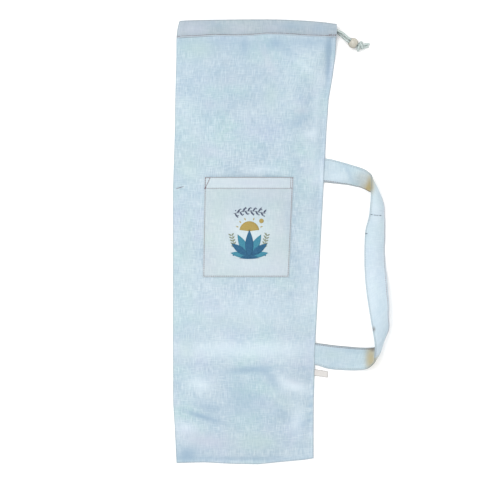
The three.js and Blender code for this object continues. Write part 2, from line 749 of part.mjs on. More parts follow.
function makeLabel() {
  const seamX = rightEdgeAt(labelFromBottom)
  const start = clothThickness + clearance + labelThickness / 2
  const rest = clearance + labelThickness / 2
  const drop = labelWidth * 0.25
  const stations = [
    { out: -strapTuck, y: 0, z: start },
    { out: 0, y: 0, z: start },
    { out: labelLength * 0.3, y: -drop * 0.2, z: start },
    { out: labelLength * 0.65, y: -drop * 0.7, z: rest },
    { out: labelLength, y: -drop, z: rest },
  ]
  const outer = []
  const inner = []
  for (const station of stations) {
    const outerRow = []
    const innerRow = []
    for (const side of [-0.5, 0, 0.5]) {
      const x = seamX + station.out
      const y = labelFromBottom + station.y + side * labelWidth
      outerRow.push(new THREE.Vector3(x, y, station.z + labelThickness / 2))
      innerRow.push(new THREE.Vector3(x, y, station.z - labelThickness / 2))
    }
    outer.push(outerRow)
    inner.push(innerRow)
  }
  return sheetGeometry(outer, inner)
}

// The bag

const cloth = new THREE.MeshStandardMaterial({ color: colours.chambray, roughness: 0.9, metalness: 0 })
const hemCloth = new THREE.MeshStandardMaterial({ color: colours.casingChambray, roughness: 0.9, metalness: 0 })
const cotton = new THREE.MeshStandardMaterial({ color: colours.cord, roughness: 0.85, metalness: 0 })
const wood = new THREE.MeshStandardMaterial({ color: colours.wood, roughness: 0.5, metalness: 0 })
const tape = new THREE.MeshStandardMaterial({ color: colours.label, roughness: 0.8, metalness: 0 })

const group = new THREE.Group()
const addPiece = (name, geometry, material) => {
  const mesh = new THREE.Mesh(geometry, material)
  mesh.name = name
  group.add(mesh)
}
addPiece('bag_body', makeBody(), cloth)
addPiece('mouth_casing', makeCasing(), hemCloth)
addPiece('pocket_panel', makePocket(), cloth)
addPiece('shoulder_strap', makeStrap(), cloth)
addPiece('side_label', makeLabel(), tape)

// The origin stands under the middle of the bag, without the cord's free ends and what they carry.
const box = new THREE.Box3()
for (const mesh of group.children) {
  mesh.geometry.computeBoundingBox()
  box.union(mesh.geometry.boundingBox)
}
const middle = box.getCenter(new THREE.Vector3())
group.position.set(-middle.x, -middle.y, -box.min.z)

addPiece('drawcord_loop', makeHeldCord(), cotton)
addPiece('drawcord_end_upper', tubeGeometry(upperRoute, strandSteps, cordRadius, cordSides), cotton)
addPiece('drawcord_end_lower', tubeGeometry(lowerRoute, strandSteps, cordRadius, cordSides), cotton)
addPiece('cord_bead', makeBead(), wood)
addPiece('cord_knot', makeKnot(), cotton)

export default group
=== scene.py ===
import math

import bmesh
import bpy
import numpy as np
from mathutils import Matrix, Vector


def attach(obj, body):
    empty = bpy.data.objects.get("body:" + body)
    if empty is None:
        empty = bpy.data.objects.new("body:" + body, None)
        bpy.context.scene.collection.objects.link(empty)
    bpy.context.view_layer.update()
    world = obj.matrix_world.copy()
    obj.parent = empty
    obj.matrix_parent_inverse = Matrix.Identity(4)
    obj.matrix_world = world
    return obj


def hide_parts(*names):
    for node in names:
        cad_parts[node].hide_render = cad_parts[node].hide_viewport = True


# A yoga mat bag of thin chambray, empty, lying flat on its back. Shapes are worked out in the bag's
# own millimetres: x across it with the sewn side at +x, y up from its lowest edge, z up from the table.

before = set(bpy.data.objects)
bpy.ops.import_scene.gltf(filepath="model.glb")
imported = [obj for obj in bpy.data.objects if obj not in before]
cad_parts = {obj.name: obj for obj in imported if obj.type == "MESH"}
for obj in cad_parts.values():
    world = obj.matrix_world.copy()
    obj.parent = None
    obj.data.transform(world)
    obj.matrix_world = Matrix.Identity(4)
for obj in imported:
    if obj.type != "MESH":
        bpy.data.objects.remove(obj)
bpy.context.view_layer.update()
print("frame loaded")

rowShift = np.array([-48.84, -350.0, 0.0])  # from the bag's own millimetres to the row frame


def toRow(points):
    return (np.asarray(points, dtype=float) + rowShift) / 1000


def mix(low, high, share):
    return low + (high - low) * share


def smoothStep(value, low=0.0, high=1.0):
    share = np.clip((value - low) / (high - low), 0, 1)
    return share * share * (3 - 2 * share)


def easeOut(value):
    return 1 - (1 - np.clip(value, 0, 1)) ** 2


def softNoise(x, y, size, seed):  # seeded waves in all directions, about -1 to 1
    picks = np.random.default_rng(seed)
    total = 0.0
    for _ in range(8):
        turn, shift = picks.uniform(0, 2 * math.pi, 2)
        wave = size * picks.uniform(0.65, 1.6)
        total = total + np.sin((x * math.cos(turn) + y * math.sin(turn)) * 2 * math.pi / wave + shift)
    return total / 2.8


def spaced(low, high, step, near=()):  # even steps, with extra ones this far from both ends
    count = max(1, round((high - low) / step))
    places = list(np.linspace(low, high, count + 1))
    places += [low + n for n in near] + [high - n for n in near]
    return np.unique(np.round(places, 4))


def roundEdge(distance, radius):  # half thickness of a rounded edge, as a share, this far in
    inside = np.clip(distance / radius, 0, 1)
    return np.sqrt(np.clip(1 - (1 - inside) ** 2, 0, 1))


upright = np.array([0, 0, 1.0])


def unit(vectors):
    return vectors / np.linalg.norm(vectors, axis=-1, keepdims=True)


def aimAt(turn):  # a direction in the plane, from its turn in radians
    return np.array([math.cos(turn), math.sin(turn)])


def runAlong(path):  # distance along a path to each of its points
    return np.concatenate([[0], np.cumsum(np.linalg.norm(np.diff(path, axis=0), axis=1))])


def placesOn(at, run, values):  # the values at these distances along
    return np.stack([np.interp(at, run, values[:, k]) for k in range(3)], -1)


def addObject(name, data):
    made = bpy.data.objects.new(name, data)
    bpy.context.collection.objects.link(made)
    return made


# Camera: straight down, as far away as a tabletop photograph, framing 788 mm.
camera = {"height": 2.4, "lens": 109.6, "centre": (0.0, 337.5, 0.0)}


def addCamera():
    data = bpy.data.cameras.new("camera")
    data.lens, data.sensor_width = camera["lens"], 36
    holder = addObject("camera", data)
    centre = toRow(camera["centre"])
    holder.location = (centre[0], centre[1], camera["height"])
    bpy.context.scene.camera = holder


addCamera()
print("camera placed")

# Materials


def toLinear(code):
    channels = [int(code[i:i + 2], 16) / 255 for i in (1, 3, 5)]
    return [c / 12.92 if c <= 0.04045 else ((c + 0.055) / 1.055) ** 2.4 for c in channels] + [1.0]


def addNode(tree, kind, inputs=None, **settings):
    node = tree.nodes.new("ShaderNode" + kind)
    for name, value in settings.items():
        setattr(node, name, value)
    for name, value in (inputs or {}).items():
        if isinstance(value, bpy.types.NodeSocket):
            tree.links.new(value, node.inputs[name])
        else:
            node.inputs[name].default_value = value
    return node


def startMaterial(name, roughness, sheen=0.0, sheenTint="#ffffff", onUv=True):
    material = bpy.data.materials.new(name)
    material.use_nodes = True
    tree = material.node_tree
    shader = tree.nodes["Principled BSDF"]
    shader.inputs["Roughness"].default_value = roughness
    shader.inputs["IOR"].default_value = 1.5
    shader.inputs["Sheen Weight"].default_value = sheen
    shader.inputs["Sheen Roughness"].default_value = 0.5
    shader.inputs["Sheen Tint"].default_value = toLinear(sheenTint)
    place = addNode(tree, "UVMap").outputs["UV"] if onUv else addNode(tree, "TexCoord").outputs["Object"]
    return material, tree, shader, place


def mixColour(tree, factor, *colours):
    first, second = (toLinear(c) if isinstance(c, str) else c for c in colours)
    return addNode(tree, "Mix", {0: factor, 6: first, 7: second}, data_type="RGBA").outputs[2]


def addMath(tree, first, second, operation="MULTIPLY"):
    return addNode(tree, "Math", {0: first, 1: second}, operation=operation).outputs[0]


def addField(tree, name):
    return addNode(tree, "Attribute", attribute_name=name).outputs["Fac"]


def addMapping(tree, place, scale, turn=0.0, shift=0.0):
    inputs = {"Vector": place, "Location": (shift, shift, shift), "Rotation": (0, 0, turn), "Scale": scale}
    return addNode(tree, "Mapping", inputs).outputs[0]


def addWave(tree, place, scale, axis="X", distortion=0.0):
    inputs = {"Vector": place, "Scale": scale, "Distortion": distortion}
    return addNode(tree, "TexWave", inputs, bands_direction=axis).outputs["Fac"]


def noiseAt(tree, place, size, low=0.35, high=0.65, top=1.0, shift=0.0, detail=2.0):
    moved = addMapping(tree, place, [1 / side for side in size], shift=shift)
    noise = addNode(tree, "TexNoise", {"Vector": moved, "Scale": 1.0, "Detail": detail})
    ranged = addNode(tree, "MapRange", {"Value": noise.outputs["Fac"], "From Min": low,
                                        "From Max": high, "To Max": top})
    return ranged.outputs["Result"]


def setSurface(tree, shader, face, height=None, depth=0.0, strength=0.0):  # depth in metres
    tree.links.new(face, shader.inputs["Base Color"])
    if height is not None:
        bump = addNode(tree, "Bump", {"Height": height, "Distance": depth, "Strength": strength})
        tree.links.new(bump.outputs["Normal"], shader.inputs["Normal"])


# Cotton chambray: dyed warp and white weft in plain weave, washed and pressed. The eye gets a pale
# blue that is clouded and streaked by uneven yarn, matt, with a soft bloom at grazing angles.
clothColours = {
    "base": "#b1c1cd", "pale": "#c6d4dc", "aqua": "#afcacc", "lilac": "#bbc3d7",
    "deep": "#99b3c5", "yarn": "#93a8b6", "slub": "#d1dee4",
}
clothSizes = {  # metres
    "slub": 0.0015, "slubRun": 0.013,  # yarn is 0.35 mm thick; its thick places are drawn 1.5 mm wide to show
    "weave": 0.0013,  # real thread spacing is 0.4 mm; drawn three threads wide so that it shows
    "height": 0.00012,
}
# Laid over the base in turn: colour, size of the noise (the dye's in metres, or along one thread),
# low and high of its range, most, shift and detail.
clothLayers = [
    ("pale", (0.11, 0.11), 0.35, 0.65, 1.0, 0.0, 2.0), ("aqua", (0.07, 0.055), 0.45, 0.68, 0.95, 3.1, 2.0),
    ("lilac", (0.06, 0.05), 0.5, 0.72, 0.8, 7.7, 2.0), ("deep", (0.03, 0.03), 0.35, 0.75, 0.6, 1.3, 3.0),
    ("yarn", "warp", 0.42, 0.7, 0.42, 5.0, 1.0), ("deep", "weft", 0.45, 0.72, 0.45, 9.0, 1.0),
    ("slub", "warp", 0.48, 0.72, 0.5, 12.0, 1.0), ("slub", "weft", 0.48, 0.75, 0.45, 15.0, 1.0),
]
# Blots that a chambray mesh may carry: attribute, colour it turns the cloth to, and how far.
# The darker and paler entries are partly uneven dye and partly painted shade and painted light on folds.
clothBlots = [("dyeDarkAndShade", "#8fa9be", 0.8), ("fadeAndPaintedLight", "#d6e3ec", 0.8), ("greened", "#b2c9c6", 0.8),
              # The dark brown entry marks the strap's inner edge along its flat end runs, and two small
              # marks.
              # The tan entry is painted shade for the insides of the strap's curls.
              ("lilacked", "#bbc2d1", 0.8), ("curlShade", "#b6a577", 1.0), ("darkBrownEdge", "#6a5f58", 1.0),
              # The grey-blue entry is a painted shade line along the cloth's edges.
              ("paintedEdgeShade", "#75848a", 1.0)]
bandPerUnit = 0.31831  # the wave texture's scale at which one band is one unit wide


def chambray(name, tone="#ffffff", toneShare=0.0, shift=0.0, turned=False):
    material, tree, shader, place = startMaterial(name, 0.88, 0.12, "#e8f0f6")
    thread = (clothSizes["slub"], clothSizes["slubRun"])
    threads = {"warp": thread, "weft": thread[::-1]}
    if turned:
        threads = {"warp": thread[::-1], "weft": thread}
    face, fields = clothColours["base"], []
    for colour, size, low, high, most, move, detail in clothLayers:
        size = (*threads.get(size, size), 1)
        fields.append(noiseAt(tree, place, size, low, high, most, shift + move, detail))
        face = mixColour(tree, fields[-1], face, clothColours[colour])
    if toneShare:
        face = mixColour(tree, toneShare, face, tone)
    for blot, code, most in clothBlots:
        face = mixColour(tree, addMath(tree, addField(tree, blot), most), face, code)
    scale = 1 / clothSizes["weave"]
    threadPlace = addMapping(tree, place, (scale, scale, 1))
    over, under = (addWave(tree, threadPlace, bandPerUnit, axis, 0.6) for axis in "XY")
    uneven = addMath(tree, fields[4], fields[5], "ADD")  # the thick places of warp and weft
    height = addMath(tree, addMath(tree, over, under), uneven, "ADD")
    setSurface(tree, shader, face, height, clothSizes["height"], 0.55)
    return material


# Mercerised cotton cord, four-strand plait, drawn on its tube by crossed diagonal waves. Soft and matt, a
# grey-green white, with painted shade darkening the grooves between the strands.
def plaitedCotton(name, light, dark):
    material, tree, shader, place = startMaterial(name, 0.8, 0.15)  # u once round, v in turns of the plait
    waves = [addWave(tree, addMapping(tree, place, (4, 1, 1), turn), 0.45) for turn in (0.785, -0.785)]
    plait = addMath(tree, *waves, "MAXIMUM")
    # Painted shade: the plait's grooves take the dark colour.
    face = mixColour(tree, addMath(tree, plait, 0.75), dark, light)
    face = mixColour(tree, noiseAt(tree, place, (0.08, 0.6, 1), 0.3, 0.8, 0.5), face, light)
    face = mixColour(tree, addField(tree, "sideShade"), face, "#5b6b67")  # painted shade: greyer low on its sides
    setSurface(tree, shader, face, plait, 0.0003, 0.6)
    return material


# Turned birch, unstained and waxed: pale, with thin darker growth lines and a low gloss.
def turnedBirch(name):
    material, tree, shader, place = startMaterial(name, 0.42, onUv=False)
    grain = noiseAt(tree, place, (0.0014, 0.009, 0.0014), 0.35, 0.7, 0.6, 2.0, 4.0)
    pores = noiseAt(tree, place, (0.0003, 0.003, 0.0003), 0.55, 0.8, 0.5, 6.0)
    face = mixColour(tree, grain, "#c6c3b8", "#9c9684")
    face = mixColour(tree, pores, face, "#83785f")
    face = mixColour(tree, addField(tree, "sideShade"), face, "#7d7567")  # painted shade: darker low on its sides
    setSurface(tree, shader, face, pores, 0.0001, 0.5)
    return material


# Spun polyester thread, two plies twisted: fine slanting light and dark along each stitch.
def spunThread(name, light, dark):
    material, tree, shader, place = startMaterial(name, 0.6, 0.1)
    twist = addWave(tree, addMapping(tree, place, (1, 5, 1), 0.6), 0.6)
    setSurface(tree, shader, mixColour(tree, twist, dark, light))
    return material


# Polyester satin ribbon, cut and heat sealed: cream, with a soft gloss across its fine ribs.
def satinTape(name):
    material, tree, shader, place = startMaterial(name, 0.45, 0.1)
    ribs = 900  # in a metre
    rib = addWave(tree, addMapping(tree, place, (ribs, ribs, 1)), bandPerUnit, "Y")
    cloud = noiseAt(tree, place, (0.004, 0.004, 1), 0.3, 0.7, 0.5)
    face = mixColour(tree, cloud, "#d8d5d2", "#c9c5c3")
    face = mixColour(tree, addMath(tree, rib, 0.2), face, "#b9b6ae")
    face = mixColour(tree, addField(tree, "paintedEdgeShade"), face, "#8f8b87")  # painted shade: a brownish line along its edges
    setSurface(tree, shader, face, rib, 0.00008, 0.5)
    return material


# Water-based screen ink, soaked into the cloth: flat colour that breaks up over the weave.
def screenInk(name, code, thin):
    material, tree, shader, place = startMaterial(name, 0.85, onUv=False)
    speckle = noiseAt(tree, place, (0.0012, 0.0012, 0.0012), 0.4, 0.75, 0.45, 4.0, 3.0)
    setSurface(tree, shader, mixColour(tree, speckle, code, thin))
    return material


# Matt white paper on a light table: even, almost white, with a trace of fibre, and faintly lit from
# below so that shadows on it stay pale.
def whitePaper(name):
    material, tree, shader, place = startMaterial(name, 0.95, onUv=False)
    fibre = noiseAt(tree, place, (0.004, 0.004, 0.004), 0.3, 0.7, 0.5)
    setSurface(tree, shader, mixColour(tree, fibre, "#fbfbfb", "#f8f8f8"))
    shader.inputs["Emission Color"].default_value = toLinear("#ffffff")
    shader.inputs["Emission Strength"].default_value = 0.12
    return material


bodyCloth = chambray("chambrayBody")
casingCloth = chambray("chambrayCasing", "#8e9296", 0.42, 21.0)
pocketCloth = chambray("chambrayPocket", "#c8cec9", 0.35, 33.0)
strapCloth = chambray("chambrayStrap", "#c0d2da", 0.3, 47.0, True)
cordCotton = plaitedCotton("plaitedCotton", "#cbd7d5", "#95a39f")
beadWood = turnedBirch("turnedBirch")
threadBrown = spunThread("spunThreadBrown", "#8b777d", "#5f4a52")
threadPale = spunThread("spunThreadPale", "#b4c1c6", "#8f9ea4")
threadGrey = spunThread("spunThreadGrey", "#6f808c", "#4c5a66")
labelTape = satinTape("satinTape")
inks = {name: screenInk("screenInk" + name, *codes) for name, codes in {
    "Blue": ("#1d5477", "#4a83a0"), "Teal": ("#2f7a92", "#6aa3b2"), "Ochre": ("#a48d48", "#b5ab7c"),
    "Olive": ("#7a8068", "#aeb7a8"), "Navy": ("#3a4058", "#8490a4"),
}.items()}
paper = whitePaper("paperSweep")
print("materials made")

# Meshes


def addPiece(name, points, faces, material, uv=None, faceUv=None, values=None, join=1e-6):
    mesh = bpy.data.meshes.new(name)
    mesh.from_pydata(toRow(points).tolist(), [], [list(map(int, face)) for face in faces])
    layer = mesh.uv_layers.new(name="UVMap")
    corners = np.zeros(len(mesh.loops), dtype=np.int64)
    mesh.loops.foreach_get("vertex_index", corners)
    flat = np.asarray(faceUv if faceUv is not None else np.asarray(uv)[corners], dtype=np.float32)
    layer.data.foreach_set("uv", flat.reshape(-1))
    for key, value in (values or {}).items():
        field = mesh.attributes.new(key, "FLOAT", "POINT")
        field.data.foreach_set("value", np.asarray(value, dtype=np.float32))
    mesh.polygons.foreach_set("use_smooth", np.ones(len(mesh.polygons), dtype=bool))
    mesh.materials.append(material)
    piece = addObject(name, mesh)
    if join:
        joinPoints(mesh, join)
    mesh.validate()
    mesh.update()
    return piece


def joinPoints(mesh, distance):  # joins the doubled points where two skins meet
    made = bmesh.new()
    made.from_mesh(mesh)
    bmesh.ops.remove_doubles(made, verts=made.verts, dist=distance)
    made.to_mesh(mesh)
    made.free()


def gridFaces(rows, columns, start=0, closed=False, flip=False):
    row, column = np.arange(rows - 1)[:, None], np.arange(columns if closed else columns - 1)[None]
    after = (column + 1) % columns
    here, above = row * columns, (row + 1) * columns
    quads = np.stack([here + column, here + after, above + after, above + column], -1).reshape(-1, 4)
    return start + (quads[:, ::-1] if flip else quads)


def gridUv(u, v, closedU=None, flip=False):  # corner by corner, so a closed ring has no smeared face
    if closedU is not None:
        u = np.concatenate([u, closedU[:, None]], 1)
        v = np.concatenate([v, v[:, :1]], 1)
    corner = np.stack([u, v], -1)
    quads = np.stack([corner[:-1, :-1], corner[:-1, 1:], corner[1:, 1:], corner[1:, :-1]], 2)
    quads = quads.reshape(-1, 4, 2)
    return (quads[:, ::-1] if flip else quads).reshape(-1, 2)


# A sheet of cloth from its middle surface, its normals and half its thickness, 0 at the edges.
def addSheet(name, middle, normal, half, u, v, material, values):
    rows, columns = middle.shape[:2]
    top = (middle + normal * half[..., None]).reshape(-1, 3)
    bottom = (middle - normal * half[..., None]).reshape(-1, 3)
    faces = np.concatenate([gridFaces(rows, columns), gridFaces(rows, columns, rows * columns, flip=True)])
    faceUv = np.concatenate([gridUv(u, v), gridUv(u, v, flip=True)]) / 1000
    doubled = {key: np.tile(value.ravel(), 2) for key, value in values.items()}
    return addPiece(name, np.concatenate([top, bottom]), faces, material, faceUv=faceUv, values=doubled)


def gridNormals(grid):
    return unit(np.cross(np.gradient(grid, axis=1), np.gradient(grid, axis=0)))


def edgeShare(distance, width=1.4):
    return 1 - smoothStep(distance, 0.3, width)


# Adds up soft oval marks: x, y, half length and half width in millimetres, turn, amount.
def blotField(x, y, rows):
    total = 0.0 * x
    for cx, cy, length, width, turn, amount in rows:
        angle = math.radians(turn)
        run = ((x - cx) * math.cos(angle) + (y - cy) * math.sin(angle)) / length
        side = ((y - cy) * math.cos(angle) - (x - cx) * math.sin(angle)) / width
        total = total + amount * np.exp(-run * run - side * side)
    return total


def blotFields(x, y, tables):
    return {name: np.clip(blotField(x, y, rows), 0, 1) for name, rows in tables.items()}


# A smooth path through points, its steps even from point to point (centripetal Catmull-Rom).
def smoothPath(points, steps):
    points = np.asarray(points, dtype=float)
    points = np.vstack([2 * points[0] - points[1], points, 2 * points[-1] - points[-2]])
    path = []
    for i in range(1, len(points) - 2):
        p0, p1, p2, p3 = points[i - 1:i + 3]
        gaps = [max(np.linalg.norm(b - a), 1e-9) ** 0.5 for a, b in ((p0, p1), (p1, p2), (p2, p3))]
        start = ((p1 - p0) / gaps[0] - (p2 - p0) / (gaps[0] + gaps[1]) + (p2 - p1) / gaps[1]) * gaps[1]
        end = ((p2 - p1) / gaps[1] - (p3 - p1) / (gaps[1] + gaps[2]) + (p3 - p2) / gaps[2]) * gaps[1]
        for t in np.arange(steps) / steps:
            path.append(p1 + start * t + (3 * (p2 - p1) - 2 * start - end) * t ** 2
                        + (2 * (p1 - p2) + start + end) * t ** 3)
    path.append(points[-2])
    return np.array(path)


def pathFrames(path):  # a side and an up direction at each point, carried along
    up = upright
    sides, ups = [], []
    for t in unit(np.gradient(path, axis=0)):
        up = unit(up - t * np.dot(up, t))
        sides.append(np.cross(up, t))
        ups.append(up)
    return np.array(sides), np.array(ups)


def ringOut(side, up, angle):  # the directions out of a path, at these angles round it
    return side[:, None] * np.cos(angle)[..., None] + up[:, None] * np.sin(angle)[..., None]


# Cord


cord = {
    "diameter": 4.0, "sides": 14, "stepsPerPoint": 9,
    "plaitRise": 0.16, "plaitTurn": 7.5,  # millimetres: height of a strand, and one turn of the plait
    "sideShade": (0.12, 0.75),  # where the painted shade on its sides begins and ends, from its top at 0
    "beadDiameter": 16.0, "strandSpacing": 2.15, "pressed": 1.7,  # pressed: its diameter in the casing's fold
}
beadAim, strandSide = unit(np.array([0.83, -0.53, -0.17])), unit(np.array([0.53, 0.83, 0.0]))
mouthEnd = np.array([136.332, 681.92, 0.0])  # the casing's open end, on the line of the cord
beadCentre = mouthEnd + (25.8, -19.2, cord["beadDiameter"] / 2)
knotCentre = beadCentre + beadAim * (cord["beadDiameter"] / 2 + 1.5 * cord["diameter"]) + (-0.5, 2.6, 0)
knotCentre[2] = 1.3 * cord["diameter"]


def inBead(along, side):
    return beadCentre + beadAim * along + strandSide * side * cord["strandSpacing"]


# The two free ends, from the casing's end through the bead to the knot: the solids' own routes.
upperRoute = [
    mouthEnd + (-1.7, 0, 11.1), mouthEnd + (1, 0, 11.1), mouthEnd + (5, -1.8, 10.9),
    mouthEnd + (11, -5.4, 10.2), inBead(-12, 1), inBead(-7, 1), inBead(0, 1), inBead(8.4, 1),
]
lowerRoute = [
    mouthEnd + (-1.7, -1, 3.5), mouthEnd + (0.6, -1, 3.5), mouthEnd + (4.4, -4.4, 4.1),
    mouthEnd + (9.6, -9.2, 6), inBead(-12, -1), inBead(-7, -1), inBead(0, -1), inBead(7.4, -1),
]


# Points, faces and corner UVs of a plaited tube. taper rounds the ends off.
def plaitTube(path, start=0, taper=False, diameter=None):
    radius = (cord["diameter"] if diameter is None else diameter) / 2
    side, up = pathFrames(path)
    run = runAlong(path)
    angle = np.linspace(0, 2 * math.pi, cord["sides"], endpoint=False)
    around, along = np.meshgrid(angle, run)
    turn = 2 * math.pi * along / cord["plaitTurn"]
    plait = np.maximum(np.abs(np.sin(around + turn)), np.abs(np.sin(around - turn)))
    size = radius - cord["plaitRise"] + cord["plaitRise"] * plait
    if taper:
        size = size * (0.25 + 0.75 * roundEdge(np.minimum(along, run[-1] - along), radius))
    outward = ringOut(side, up, around)
    points = path[:, None] + outward * size[..., None]
    rows, columns = points.shape[:2]
    faces = [list(face) for face in gridFaces(rows, columns, start, closed=True)]
    u, v = around / (2 * math.pi), along / cord["plaitTurn"]
    faceUv = list(gridUv(u, v, np.ones(rows)))
    for row, order in ((0, -1), (rows - 1, 1)):  # closes each end
        faces.append([start + row * columns + i for i in range(columns)][::order])
        faceUv += [np.array([0.5, v[row, 0]])] * columns
    # Painted shade: darker on the sides and underside, where the tube faces away from the light above.
    sideShade = smoothStep(1 - outward[..., 2], *cord["sideShade"])
    return points.reshape(-1, 3), faces, faceUv, sideShade.ravel()


# grey scales how dark the painted shade on the tubes' sides gets.
def addTubes(name, paths, taper=False, diameters=None, grey=1.0):
    points, faces, faceUv, sideShades = [], [], [], []
    for i, path in enumerate(paths):
        start = sum(len(p) for p in points)
        size = diameters[i] if diameters else None
        tubePoints, tubeFaces, tubeUv, sideShade = plaitTube(path, start, taper, size)
        points.append(tubePoints)
        sideShades.append(sideShade)
        faces += tubeFaces
        faceUv += tubeUv
    return addPiece(name, np.concatenate(points), faces, cordCotton, faceUv=np.array(faceUv),
                    values={"sideShade": grey * np.concatenate(sideShades)}, join=0)


upperPath = smoothPath(upperRoute, cord["stepsPerPoint"])
lowerPath = smoothPath(lowerRoute, cord["stepsPerPoint"])
upperCord = addTubes("drawcordUpper", [upperPath])
lowerCord = addTubes("drawcordLower", [lowerPath])

# The bead's sides are darkened low down as painted shade: where it begins and ends, and how far.
bead = {"bore": 4.45, "lip": 0.9, "segments": 48, "sideShade": (0.3, 0.9), "sideShadeShare": 0.8}


def addBead():
    radius = cord["beadDiameter"] / 2
    lipAngle = math.acos((bead["bore"] + bead["lip"]) / radius)
    profile = [(radius * math.cos(a), radius * math.sin(a)) for a in np.linspace(-lipAngle, lipAngle, 22)]
    end = profile[-1][1]
    inner = end - bead["lip"] * 0.9
    lip = [(bead["bore"] + bead["lip"] * (1 - math.sin(a)), inner + (end - inner) * math.cos(a))
           for a in np.linspace(0.25, math.pi / 2, 6)]
    bore = [(bead["bore"], h) for h in np.linspace(inner, -inner, 8)[1:-1]]
    profile += lip + bore + [(r, -h) for r, h in lip[::-1]]
    turnSide = unit(np.cross(beadAim, upright))
    turnUp = np.cross(turnSide, beadAim)
    angle = np.linspace(0, 2 * math.pi, bead["segments"], endpoint=False)
    points = np.array([[beadCentre + beadAim * h + r * (turnSide * math.cos(a) + turnUp * math.sin(a))
                        for r, h in profile] for a in angle])
    rows, columns = points.shape[:2]
    points = np.concatenate([points, points[:1]])
    u, v = np.meshgrid(np.linspace(0, 1, columns), np.linspace(0, 1, rows + 1))
    faces = gridFaces(rows + 1, columns, closed=True)
    outward = (points - beadCentre) / radius
    # Painted shade: the bead darker low on its sides.
    sideShade = bead["sideShadeShare"] * smoothStep(1 - outward[..., 2], *bead["sideShade"])
    return addPiece("drawcordBead", points.reshape(-1, 3), faces, beadWood,
                    faceUv=gridUv(u, v, np.ones(rows + 1)), values={"sideShade": sideShade.ravel()}, join=1e-5)


beadPiece = addBead()

knot = {
    "wraps": [(-0.6, -0.4, -18.0), (0.6, 0.4, 18.0)],  # x, y in cord diameters, turn in degrees
    "wrapAcross": 4.75, "wrapHeight": 3.1, "wrapTurns": 1.12, "wrapDrift": 2.2,
    "tails": [(0.42, 1.0, 3.9), (-0.5, 0.65, 3.5)],  # side, height and reach in cord diameters
    "fibres": 12, "fibreLength": 1.6, "fibreDiameter": 0.35,
}


def addKnot():
    size = cord["diameter"]
    paths = []
    for x, y, turn in knot["wraps"]:
        axis = np.array([*aimAt(math.radians(turn)), 0])
        across = np.array([-axis[1], axis[0], 0])
        centre = knotCentre + (x * size, y * size, 0)
        sweep = np.linspace(-0.12, knot["wrapTurns"] - 0.12, 44)
        along, swing = sweep[:, None] - 0.45, 2 * math.pi * sweep[:, None] + math.copysign(0.9, turn)
        paths.append(centre + axis * knot["wrapDrift"] * along + across * knot["wrapAcross"] * np.cos(swing)
                     + upright * knot["wrapHeight"] * np.sin(swing))
    tips = []
    for (side, height, reach), route in zip(knot["tails"], (upperRoute, lowerRoute)):
        start = route[-1] + beadAim * 0.35
        bends = np.array([  # in cord diameters, up from the table
            (0.5, side * 0.6, 1.3), (1.6, side + 0.25, height + 0.15), (2.8, side + 0.5, height),
            (reach - 0.25, side + 0.55, height),
        ])
        bends = bends * size + knotCentre * (1, 1, 0)
        path = smoothPath([start, mix(start, knotCentre, 0.5), *bends], 8)
        paths.append(path)
        tips.append((path[-1], unit(path[-1] - path[-2])))
    diameters = [size] * len(paths)
    picks = np.random.default_rng(12)
    for tip, aim in tips:  # the cut ends fray into short fibres
        for _ in range(knot["fibres"]):
            spread = picks.normal(0, 1, 3) * (0.2, 1.0, 0.55)
            foot = tip + spread * 0.75 - aim * 0.6
            end = foot + (aim + spread * 0.28) * knot["fibreLength"] * picks.uniform(0.6, 1.1)
            end[2] = max(end[2], 0.4)
            paths.append(smoothPath([foot, mix(foot, end, 0.5) + (0, 0, 0.1), end], 2))
            diameters.append(knot["fibreDiameter"])
    # The knot takes a lighter share of the painted side shade.
    return addTubes("drawcordKnot", paths, taper=True, diameters=diameters, grey=0.35)


knotPiece = addKnot()
for piece, nodes in ((upperCord, ["drawcord_end_upper"]), (lowerCord, ["drawcord_end_lower"]),
                     (beadPiece, ["cord_bead"]), (knotPiece, ["cord_knot"])):
    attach(piece, "root")
    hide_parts(*nodes)
print("cords, bead and knot made")

# Bag body


bag = {
    "length": 700.0, "width": 252.0, "cloth": 1.0, "wall": 0.8, "seam": 7.0, "seamHeight": 2.3,
    "frontHeight": 15.0, "foldHeight": 5.0, "reliefHeight": 2.0,
    "edgeRise": 70.0, "mouthRise": 120.0, "backRise": 45.0,
    "step": 2.5, "backStep": 6.0, "innerStep": 12.0,
    "seamRidge": 0.5, "ridgeIn": 4.7, "bottomRidgeIn": 5.5,  # allowances turned in behind the seams
    "seamWave": (26, 5, 0.22), "puckerDepth": 0.6, "restHeight": 0.05,
}
casing = {
    "height": 22.0, "thickness": 7.0, "lip": 3.0, "mouthGap": 5.0, "endGap": 0.6, "foldGap": 4.0,
    "stitchUp": 2.4, "groove": 0.3, "pucker": 0.3, "puckerWave": 9.0, "rumple": 0.35,
    "rim": 0.55, "innerRim": 0.3, "rimRound": 1.0, "under": 0.05,  # under: from the body's rim up to the lip
    "lipSink": 0.5, "lipReach": 7.0, "stitchSink": 0.3,
    "step": 2.5, "backStep": 6.0,
    "foldSlant": 4.2, "foldHalf": 1.5,  # the folded end is pressed, and leans in towards the top
}
outline = np.array([  # along the bag; how far its left and right edges stand from x = 0, in its width
    (0, 0.459, 0.397), (0.08, 0.469, 0.397), (0.14, 0.48, 0.398), (0.28, 0.481, 0.409),
    (0.35, 0.481, 0.419), (0.45, 0.481, 0.434), (0.62, 0.481, 0.459), (0.75, 0.469, 0.478),
    (0.82, 0.467, 0.491), (0.87, 0.463, 0.515), (0.92, 0.459, 0.534), (1, 0.457, 0.541),
])
bottomEdge = np.array([  # across the bag; rise of the bottom edge, in its width
    (0, 0.008), (0.2, 0.012), (0.42, 0.002), (0.6, 0), (0.76, 0.014), (0.93, 0.027), (1, 0.036),
])
